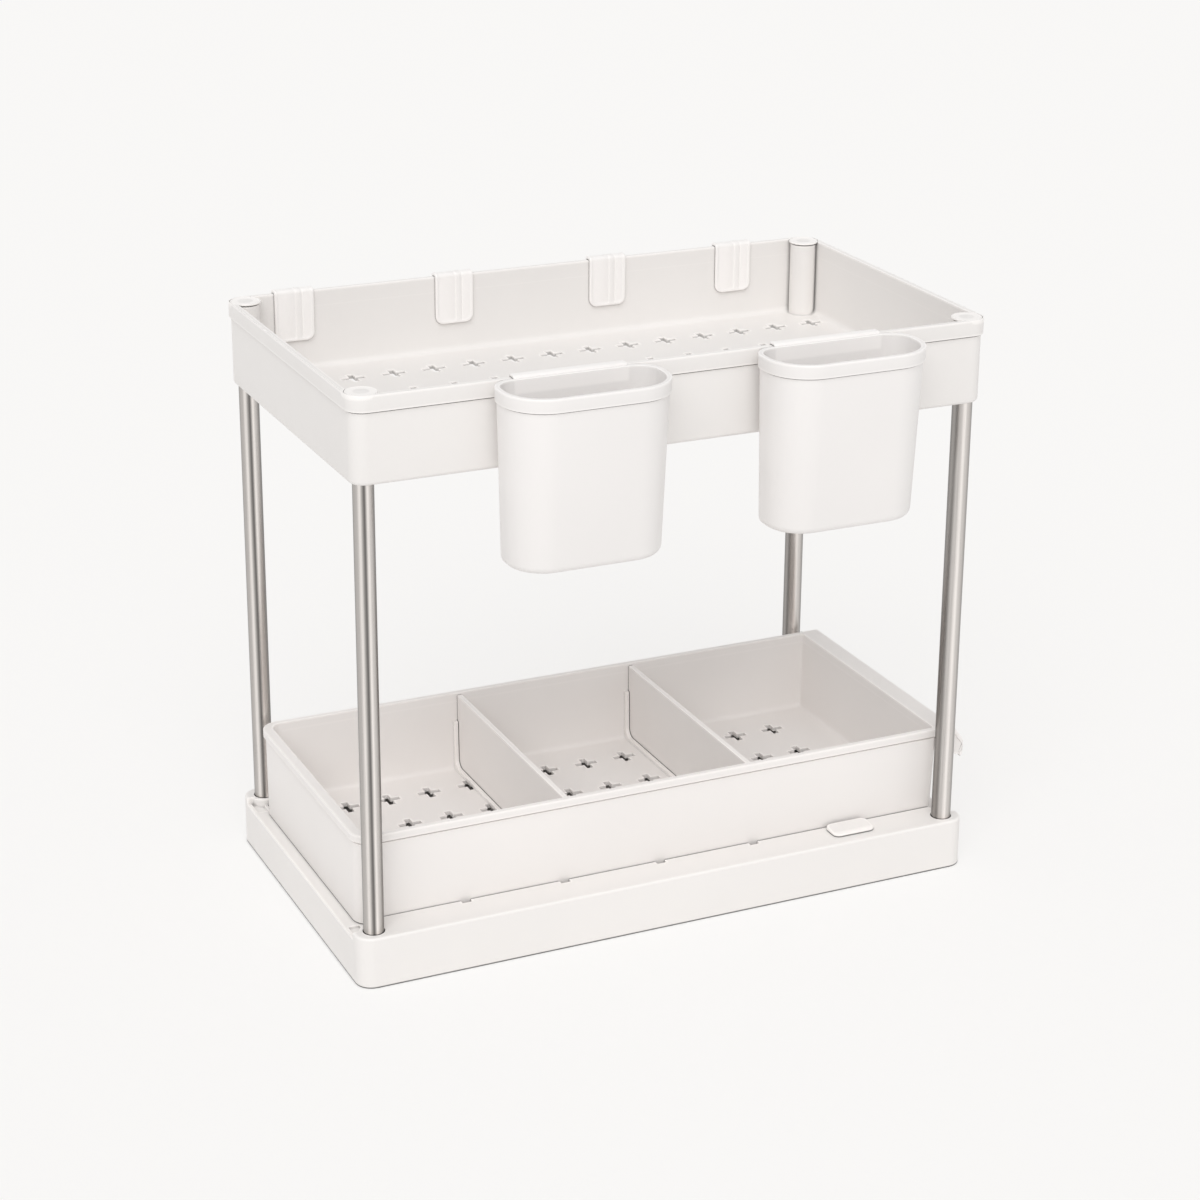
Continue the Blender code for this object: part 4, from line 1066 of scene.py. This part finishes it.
def drawer_side_at(settings, z):
    """Half depth of the drawer's outer wall at a height."""
    drawer = settings.drawer
    height = drawer_places(settings)[3]
    foot_side = SIDE - settings.base.ledge_width - drawer.side_fit
    rise = min(z / (height - drawer.rim_height), 1.0)
    return foot_side + drawer.draft * rise


def drawer_ring(settings, inset, z):
    """Ring of the drawer at a height; a negative inset stands proud."""
    drawer = settings.drawer
    left_end, right_end, foot, height = drawer_places(settings)
    side = drawer_side_at(settings, z)
    taper = drawer_side_at(settings, height) - side
    wall_share = min(max(inset / drawer.wall, 0.0), 1.0)
    left_end += inset + (drawer.end_wall - drawer.wall) * wall_share
    left = max(drawer.left_corner - inset, LEAST_CORNER)
    right = max(drawer.right_corner - inset, LEAST_CORNER)
    return at_height(rounded_outline(left_end, right_end - taper - inset,
                                     inset - side, side - inset, (right, left, left, right),
                                     settings.detail.corner_steps), foot + z)


def drawer_shell(settings):
    """Open drawer with a skirt below its floor and a proud rim."""
    drawer, detail = settings.drawer, settings.detail
    height = drawer_places(settings)[3]
    floor_top = drawer.floor_lift + drawer.floor
    rim_foot = height - drawer.rim_height
    profile = soft_profile([
        (drawer.wall, drawer.floor_lift, 0.0),
        (drawer.wall, 0.0, detail.edge),
        (0.0, 0.0, detail.edge),
        *shadow_line(0.0, rim_foot, drawer.line_height, detail.rim_line, detail.line_edge),
        (-drawer.rim_proud, rim_foot, detail.edge),
        (-drawer.rim_proud, height, drawer.rim_edge),
        (drawer.wall, height, drawer.rim_edge),
        (drawer.wall, floor_top, drawer.floor_fillet),
        (drawer.wall + 2 * drawer.floor_fillet, floor_top, 0.0),
    ], detail.edge_steps + 1)
    return skinned("drawer_moulding", [drawer_ring(settings, inset, z) for inset, z in profile])


def grip_profile(settings, inset):
    """Outer line of the grip in XZ: along the flange, down, round the curl."""
    grip = settings.grip
    _, right_end, foot, height = drawer_places(settings)
    centre = (right_end + grip.reach - grip.radius, foot + height - grip.drop)
    nose = arc_points(centre, grip.radius - inset, GRIP_SLOPE, CURL_END, CURL_STEPS)
    top = foot + height - inset
    crest = nose[0][0] - (top - nose[0][1]) * math.tan(GRIP_SLOPE)
    return [(right_end - settings.drawer.wall / 2, top), (crest, top)] + nose


def drawer_grip(settings):
    """Pull grip along the right end: a flange, a slope, a curled edge and end webs."""
    grip, drawer, detail = settings.grip, settings.drawer, settings.detail
    _, right_end, foot, height = drawer_places(settings)
    side = drawer_side_at(settings, height) + drawer.rim_proud
    section = grip_profile(settings, 0.0) + grip_profile(settings, grip.thickness)[::-1]
    body = straight("grip", [("y", section, (-side, side))])
    web = grip_profile(settings, grip.thickness / 2)
    web.append((web[0][0], foot + height - grip.drop))
    outer = side - grip.web_inset
    boolean(body, "UNION", straight("grip_webs", [
        ("y", web, (near, near + grip.web)) for near in (-outer, outer - grip.web)]))
    plan = rounded_outline(right_end - grip.reach, right_end + grip.reach, -side, side,
                           [grip.corner] * 4, detail.corner_steps)
    boolean(body, "INTERSECT", straight("grip_plan", [("z", plan, (foot, foot + height + CUT))]))
    return body


def divider_ribs(settings):
    """Pairs of ribs that run down the walls and across the floor."""
    drawer, detail = settings.drawer, settings.detail
    foot = drawer_places(settings)[2]
    low = drawer.floor_lift + drawer.floor
    top = low + drawer.rib_top
    crest = low + drawer.rib_height
    sink = detail.fit + OVERLAP

    def inner(z):
        return drawer_side_at(settings, z) - drawer.wall

    root = [(-(inner(top) + sink), foot + top), (-(inner(low) + sink), foot + low - sink)]
    bend_side = inner(crest) - drawer.rib_height - drawer.rib_bend
    bend = arc_points((bend_side, foot + crest + drawer.rib_bend), drawer.rib_bend, 0.0,
                      -QUARTER, detail.corner_steps)
    crest_line = [(inner(top) - drawer.rib_height, foot + top)] + bend
    section = mirrored(crest_line) + mirrored(root)
    near = drawer.divider / 2 + detail.fit
    return straight("divider_ribs", [
        ("x", section, sorted((place + turn * near, place + turn * near + turn * drawer.rib)))
        for place in (node_centre(node).x for node in DIVIDERS) for turn in SIDES])


def runner_lugs(settings):
    """Lugs at the left end that run in the tracks and meet the stop clip."""
    drawer, base, detail = settings.drawer, settings.base, settings.detail
    left_end, _, foot, _ = drawer_places(settings)
    bay = SIDE - base.ledge_width
    arm_top = BASE_HIGH.z - base.ledge_plate - detail.fit
    root = bay - drawer.side_fit - drawer.wall / 2
    tip = bay + base.track_width - drawer.side_fit
    leg = bay + detail.fit + OVERLAP
    low = foot - drawer.lug_drop
    section = [(root, foot), (leg, foot), (leg, low), (tip, low), (tip, arm_top),
               (root, arm_top)]
    near = left_end + drawer.lug_inset
    return straight("runner_lugs", [
        ("x", [(turn * y, z) for y, z in section], (near, near + drawer.lug_length))
        for turn in (1, -1)])


class ORGANIZER_OT_drawer(bpy.types.Operator):
    """Mould the drawer with its holes, ribs, lugs and grip"""
    bl_idname = "organizer.drawer"
    bl_label = "Drawer"

    def execute(self, context):
        settings = context.scene.organizer
        drawer, detail = settings.drawer, settings.detail
        low = drawer_places(settings)[2] + drawer.floor_lift
        holes = plus_field(drawer, settings.tray, low - CUT, low + drawer.floor + CUT)
        holes.location.x = drawer.hole_shift
        shell = drawer_shell(settings)
        boolean(shell, "DIFFERENCE", holes)
        boolean(shell, "UNION", divider_ribs(settings), runner_lugs(settings),
                drawer_grip(settings))
        roll_edges(shell, detail)
        dress(shell, "drawer", "drawer", "drawer_plastic")
        return {"FINISHED"}


class ORGANIZER_OT_dividers(bpy.types.Operator):
    """Mould the two plates that lift out of the drawer"""
    bl_idname = "organizer.dividers"
    bl_label = "Dividers"

    def execute(self, context):
        settings = context.scene.organizer
        drawer, detail = settings.drawer, settings.detail
        foot = drawer_places(settings)[2]
        low, high = (corner.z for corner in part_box(DIVIDERS[0]))
        low_side, high_side = (
            drawer_side_at(settings, z - foot) - drawer.wall - drawer.divider_fit
            for z in (low, high))
        radius = drawer.divider_corner
        bend = arc_points((low_side - radius, low + radius), radius, 0.0, -QUARTER,
                          detail.corner_steps)
        section = mirrored([(high_side, high)] + bend)
        half = drawer.divider / 2
        for node in DIVIDERS:
            place = node_centre(node).x
            plate = straight(node + "_plate", [("x", section, (place - half, place + half))])
            roll_edges(plate, detail)
            dress(plate, node, node, "divider_plastic")
        return {"FINISHED"}


# Hooks and cups
# Places across a hook's skin: its two grooves, the two sides of the raised band and two points
# on the panel. A fade is the near and far distance between which a form rises.
GROOVES = (0.0005, 0.0048)
GROOVE_FADE = (0.0002, 0.0006)
GROOVE_POINTS = range(-3, 4)
BAND_NEAR, BAND_FAR = (0.0007, 0.001), (0.0043, 0.0046)
BAND_LIFT_SHARE = 0.6
BORDER_FADE = (-0.0002, 0.0003)
PANEL_POINTS = (-0.006, 0.008)
SPOT_DIGITS = 6
# Shares of the edge's and the corner's radius at which the skin has points
EDGE_SHARES = (0.0, 0.04, 0.16, 0.36, 0.65, 1.0)
CORNER_SHARES = (0.55, 0.8, 1.0)
PEG_STEPS = 20
PEG_EDGE = 0.0008
PEG_TIP_EDGE = 0.0006
STRAP_EDGE = 0.0004
# Run of a cup's floor beyond its radius, in radii, and the extra steps of its round ends
CUP_FLOOR_RUN = 1.6
CUP_STEPS = 6


def saddle_bends(inner_y, outer_y, crest, bend, steps):
    """The two bends of a centre line that goes up one face of a wall and down the other."""
    turn = crest - bend
    return (arc_points((inner_y + bend, turn), bend, math.pi, QUARTER, steps)
            + arc_points((outer_y - bend, turn), bend, QUARTER, 0.0, steps))


def hang(settings, nodes, side, body, path, width, thickness, edge):
    """Mould like pieces that hang at the tray's rim, each a body and a flat bar along a path."""
    for node in nodes:
        shift = Vector((node_centre(node).x, side, RIM_TOP))
        bm = bmesh.new()
        body(bm, settings, shift)
        sweep_strip(bm, path, shift, settings.detail.edge_steps, width, thickness, edge)
        piece = new_object(node + "_moulding", bm)
        keep_creases(piece)
        dress(piece, node, node, "cup_plastic")


def border_distance(across, rise, half_width, radius):
    """Distance to the border of a strip with a round end, inside it."""
    over_x = abs(across) - (half_width - radius)
    over_z = radius - rise
    outside = math.hypot(max(over_x, 0.0), max(over_z, 0.0))
    return radius - outside - min(max(over_x, over_z), 0.0)


def smooth_share(value, low, high):
    """Smooth step from 0 to 1 between two values."""
    t = min(max((value - low) / (high - low), 0.0), 1.0)
    return t * t * (3.0 - 2.0 * t)


def hook_relief(hooks, across, border):
    """Depth of the hook's skin below its full thickness at one point."""
    edge = hooks.edge
    depth = 0.0
    if border < edge:
        depth += edge - math.sqrt(max(edge * edge - (edge - border) ** 2, 0.0))
    inside = smooth_share(border, *(hooks.border + fade for fade in BORDER_FADE))
    depth += hooks.sink * inside
    for groove in GROOVES:
        near = 1.0 - smooth_share(abs(across - groove), *GROOVE_FADE)
        depth += hooks.groove * near * smooth_share(border, hooks.border, 2 * hooks.border)
    band = smooth_share(across, *BAND_NEAR) * (1.0 - smooth_share(across, *BAND_FAR))
    return depth - BAND_LIFT_SHARE * hooks.sink * band * inside


def hook_columns(hooks):
    """Places across the hook where its skin has points."""
    half = hooks.width / 2
    ends = [half - hooks.edge * part for part in EDGE_SHARES]
    ends += [half - hooks.border - fade for fade in (0.0, *BORDER_FADE)]
    ends += [half - hooks.corner * part for part in CORNER_SHARES]
    middle = [groove + step * GROOVE_FADE[0] for groove in GROOVES for step in GROOVE_POINTS]
    spots = [*ends, *(-end for end in ends), *middle, *PANEL_POINTS]
    return sorted({round(spot, SPOT_DIGITS) for spot in spots})


def hook_rows(hooks, leg):
    """Distances from a leg's end where its skin has rows."""
    rows = [hooks.edge * part for part in EDGE_SHARES]
    rows += [hooks.border + fade for fade in (0.0, *BORDER_FADE)]
    return sorted({*rows, 2 * hooks.border, hooks.corner, leg / 2, leg})


def hook_skin(bm, settings, shift):
    """Saddle over the rim with a raised border, a sunk panel and two grooves."""
    hooks, tray = settings.hooks, settings.tray
    half = hooks.thickness / 2
    width = hooks.width / 2
    crest = hooks.fit + half
    inner_y = -(tray.rim_proud + tray.wall) - hooks.fit - half
    outer_y = hooks.fit + half
    turn = crest - hooks.bend
    arc = saddle_bends(inner_y, outer_y, crest, hooks.bend, 2 * settings.detail.edge_steps)
    steps = len(arc) // 2
    rings = []
    for across in hook_columns(hooks):
        over = max(abs(across) - (width - hooks.corner), 0.0)
        lift = hooks.corner - math.sqrt(max(hooks.corner ** 2 - over ** 2, 0.0))
        legs = []
        for leg, y, direction in ((hooks.flap, inner_y, -1.0), (hooks.back, outer_y, 1.0)):
            end = -leg + lift
            run = turn - end
            rows = [min(row * run / (leg + turn) if row > hooks.corner else row, run)
                    for row in hook_rows(hooks, leg + turn)]
            legs.append([(y, end + row, direction, 0.0,
                          border_distance(across, row + lift, width, hooks.corner))
                         for row in rows])
        middle = []
        for i, (y, z) in enumerate(arc):
            angle = math.pi - QUARTER * (i if i < steps else i - 1) / (steps - 1)
            middle.append((y, z, math.cos(angle), math.sin(angle), width - abs(across)))
        outside, inside = [], []
        for y, z, normal_y, normal_z, border in legs[0][:-1] + middle + legs[1][-2::-1]:
            reach = half - hook_relief(hooks, across, border)
            for line, out in ((outside, reach), (inside, -half)):
                line.append((shift.x + across, shift.y + y + normal_y * out,
                             shift.z + z + normal_z * out))
        rings.append(outside + inside[::-1])
    loops = skin_rings(bm, rings, "open")
    for loop in (loops[0], loops[-1]):
        for j in range(len(loop) // 2 - 1):
            bm.faces.new((loop[j], loop[j + 1], loop[-2 - j], loop[-1 - j]))


class ORGANIZER_OT_hooks(bpy.types.Operator):
    """Mould the four hooks that hang over the back rim"""
    bl_idname = "organizer.hooks"
    bl_label = "Hooks"

    def execute(self, context):
        settings = context.scene.organizer
        hooks = settings.hooks
        leg_y = hooks.fit + hooks.peg_thickness / 2
        tip_y = leg_y + 2 * hooks.peg_radius
        turn = hooks.peg_radius - hooks.peg_drop
        tip = turn + hooks.peg_tip
        path = [(leg_y, -hooks.back / 2)]
        path += arc_points((leg_y + hooks.peg_radius, turn), hooks.peg_radius, math.pi,
                           2 * math.pi, PEG_STEPS)
        path += [(tip_y, tip - PEG_TIP_EDGE), (tip_y, tip)]
        hang(settings, HOOKS, RIM_SIDE, hook_skin, path, hooks.peg_width, hooks.peg_thickness,
             PEG_EDGE)
        return {"FINISHED"}


def cup_ring(cups, inset, z, shift, steps):
    """Ring of the cup at a depth below its rim, drawn in from the rim's face."""
    down = -z / cups.height
    taper = cups.taper * down
    back_taper = cups.back_taper * down
    end = cups.length / 2 - inset - taper
    back = shift.y - cups.fit - inset - back_taper
    front = shift.y - cups.fit - cups.depth + inset + 2 * taper - back_taper
    near = cups.front_corner - inset - taper
    far = cups.back_corner - inset - taper
    return at_height(rounded_outline(shift.x - end, shift.x + end, front, back,
                                     (far, far, near, near), steps), shift.z + z)


def cup_body(bm, settings, shift):
    """Tapered cup with a proud rim band and rounded lips."""
    cups, detail = settings.cups, settings.detail
    wall = cups.rim_proud + cups.wall
    fillet = cups.foot_edge - cups.wall
    floor = cups.floor - cups.height
    profile = soft_profile([
        (cups.rim_proud + CUP_FLOOR_RUN * cups.foot_edge, -cups.height, 0.0),
        (cups.rim_proud, -cups.height, cups.foot_edge),
        *shadow_line(cups.rim_proud, -cups.rim_height, detail.line, detail.line,
                     detail.line_edge),
        (0.0, -cups.rim_height, detail.edge),
        (0.0, 0.0, cups.rim_edge),
        (wall, 0.0, cups.rim_edge),
        (wall, floor, fillet),
        (wall + CUP_FLOOR_RUN * fillet, floor, 0.0),
    ], detail.edge_steps + 2)
    skin_rings(bm, [cup_ring(cups, inset, z, shift, detail.corner_steps + CUP_STEPS)
                    for inset, z in profile])


class ORGANIZER_OT_cups(bpy.types.Operator):
    """Mould the two cups that hang on the front rim"""
    bl_idname = "organizer.cups"
    bl_label = "Cups"

    def execute(self, context):
        settings = context.scene.organizer
        cups, tray, detail = settings.cups, settings.tray, settings.detail
        half = cups.strap / 2
        inner_y = tray.rim_proud + tray.wall + cups.strap_gap + half
        root_y = -cups.fit - cups.rim_proud / 2 - half
        path = [(root_y, -cups.strap_root)]
        path += saddle_bends(root_y, inner_y, cups.strap_fit + half, cups.strap_bend,
                             2 * detail.edge_steps)
        path.append((inner_y, -cups.strap_lip))
        hang(settings, CUPS, -RIM_SIDE, cup_body, path, cups.strap_width, cups.strap, STRAP_EDGE)
        return {"FINISHED"}


# Studio, with the camera where the photograph was taken
CAMERA_PLACE = (-0.66808, -1.4507, 0.78952)
CAMERA_YAW, CAMERA_PITCH, CAMERA_ROLL = 0.43083, 0.34906, 0.00642
CAMERA_LENS = 83.9927
CAMERA_SENSOR = 36.0
CAMERA_SHIFT = -0.05
LAMP_FROM = (-0.34, -0.62, 0.74)
FLOOR_CELLS = 4
FLOOR_DROP = 0.0001
# Painted contact shadow on the floor: reach, fade and darkest tone
CONTACT_SHADOW_REACH = 0.003
CONTACT_SHADOW_FADE, CONTACT_SHADOW_TONE = (0.25, 0.58), 0.15
GLOW_FADE = (0.3, 0.9)


def view_matrix():
    """Where the camera stands and how it is turned."""
    sine, cosine = math.sin(CAMERA_YAW), math.cos(CAMERA_YAW)
    level_share = math.cos(CAMERA_PITCH)
    ahead = Vector((sine * level_share, cosine * level_share, -math.sin(CAMERA_PITCH)))
    level = Vector((cosine, -sine, 0.0))
    up = level.cross(ahead)
    right = level * math.cos(CAMERA_ROLL) + up * math.sin(CAMERA_ROLL)
    top = up * math.cos(CAMERA_ROLL) - level * math.sin(CAMERA_ROLL)
    turn = Matrix((right, top, -ahead)).transposed()
    return Matrix.Translation(CAMERA_PLACE) @ turn.to_4x4()


def seen_directly(tree):
    """1 for rays that should meet the plain backdrop: camera, glossy and transmission."""
    rays = add_node(tree, "ShaderNodeLightPath")
    total = rays["Is Camera Ray"]
    for name in ("Is Glossy Ray", "Is Transmission Ray"):
        total = calculate(tree, "MAXIMUM", total, rays[name])
    return total


def mix_to_output(tree, factor, first, second, output):
    """Mix two shaders by a factor and send them to the tree's output."""
    mix = add_node(tree, "ShaderNodeMixShader", {0: factor, 1: first, 2: second})
    add_node(tree, output, {0: mix[0]})


def studio_world(studio):
    """Pale backdrop for the camera and the steel, even dome of light for the rest."""
    world = bpy.data.worlds.new("studio_world")
    world.use_nodes = True
    tree = world.node_tree
    tree.nodes.clear()
    dome = add_node(tree, "ShaderNodeBackground", {
        "Color": (1.0, 1.0, 1.0, 1.0), "Strength": studio.dome})
    backdrop = add_node(tree, "ShaderNodeBackground", {"Color": (*studio.backdrop, 1.0)})
    mix_to_output(tree, seen_directly(tree), dome[0], backdrop[0], "ShaderNodeOutputWorld")
    bpy.context.scene.world = world


def floor_finish(studio):
    """Pale paper that takes a soft shadow, with a painted contact shadow where the object stands
    on it.
    """
    material = bpy.data.materials.new("studio_paper")
    material.use_nodes = True
    tree = material.node_tree
    tree.nodes.clear()
    contact = openness(tree, CONTACT_SHADOW_REACH)
    # Painted contact shadow in the paper's colour
    under = span(tree, contact, *CONTACT_SHADOW_FADE, CONTACT_SHADOW_TONE, 1.0)
    even = span(tree, contact, *GLOW_FADE, 0.0, studio.floor_glow)
    paper = add_node(tree, "ShaderNodeBsdfDiffuse", {
        "Color": scaled_colour(tree, studio.floor, under)})
    glow = add_node(tree, "ShaderNodeEmission", {"Color": (*studio.paper, 1.0)})
    factor = product(tree, seen_directly(tree), even)
    mix_to_output(tree, factor, paper[0], glow[0], "ShaderNodeOutputMaterial")
    return material


class ORGANIZER_OT_studio(bpy.types.Operator):
    """Lay the floor, hang the lamp and set the camera"""
    bl_idname = "organizer.studio"
    bl_label = "Studio"

    def execute(self, context):
        scene = context.scene
        studio = scene.organizer.studio
        bm = bmesh.new()
        bmesh.ops.create_grid(bm, x_segments=FLOOR_CELLS, y_segments=FLOOR_CELLS,
                              size=studio.reach)
        paper = new_object("studio_floor", bm)
        paper.location.z = -FLOOR_DROP
        paper.data.materials.append(floor_finish(studio))

        lamp = bpy.data.lights.new("soft_lamp", "SUN")
        lamp.energy = studio.lamp
        lamp.angle = math.radians(studio.spread)
        holder = bpy.data.objects.new("soft_lamp", lamp)
        holder.rotation_euler = Vector(LAMP_FROM).to_track_quat("Z", "Y").to_euler()
        scene.collection.objects.link(holder)
        studio_world(studio)

        camera = bpy.data.cameras.new("camera")
        camera.lens = CAMERA_LENS
        camera.sensor_width = CAMERA_SENSOR
        camera.shift_y = CAMERA_SHIFT
        viewer = bpy.data.objects.new("camera", camera)
        viewer.matrix_world = view_matrix()
        scene.collection.objects.link(viewer)
        scene.camera = viewer
        scene.view_settings.view_transform = "Standard"
        return {"FINISHED"}


class ORGANIZER_PT_panel(bpy.types.Panel):
    """Sizes, finishes and steps of the organizer"""
    bl_label = "Organizer"
    bl_idname = "ORGANIZER_PT_panel"
    bl_space_type = "VIEW_3D"
    bl_region_type = "UI"
    bl_category = "Organizer"

    def draw(self, context):
        settings = context.scene.organizer
        for step in STEPS:
            self.layout.operator(step.bl_idname)
        for group in settings.bl_rna.properties:
            if group.type != "POINTER" or group.identifier == "rna_type":
                continue
            part = getattr(settings, group.identifier)
            column = self.layout.column(align=True)
            column.label(text=group.name)
            for prop in part.bl_rna.properties:
                if prop.identifier not in ("rna_type", "name"):
                    column.prop(part, prop.identifier)


GROUPS = (
    ORGANIZER_PG_detail, ORGANIZER_PG_base, ORGANIZER_PG_posts, ORGANIZER_PG_tray,
    ORGANIZER_PG_drawer, ORGANIZER_PG_grip, ORGANIZER_PG_hooks, ORGANIZER_PG_cups,
    ORGANIZER_PG_finish, ORGANIZER_PG_studio, ORGANIZER_PG_settings,
)
STEPS = (
    ORGANIZER_OT_studio, ORGANIZER_OT_base, ORGANIZER_OT_stop_clip, ORGANIZER_OT_posts,
    ORGANIZER_OT_caps, ORGANIZER_OT_tray, ORGANIZER_OT_drawer, ORGANIZER_OT_dividers,
    ORGANIZER_OT_hooks, ORGANIZER_OT_cups,
)


def register():
    """Register the settings, the steps and the panel."""
    for item in GROUPS + STEPS + (ORGANIZER_PT_panel,):
        bpy.utils.register_class(item)
    bpy.types.Scene.organizer = PointerProperty(type=ORGANIZER_PG_settings)


def unregister():
    """Take the settings, the steps and the panel away."""
    del bpy.types.Scene.organizer
    for item in reversed(GROUPS + STEPS + (ORGANIZER_PT_panel,)):
        bpy.utils.unregister_class(item)


def main():
    """Register the settings and steps and build every piece in order."""
    register()
    for step in STEPS:
        group, name = step.bl_idname.split(".")
        getattr(getattr(bpy.ops, group), name)()


if __name__ == "__main__":
    main()
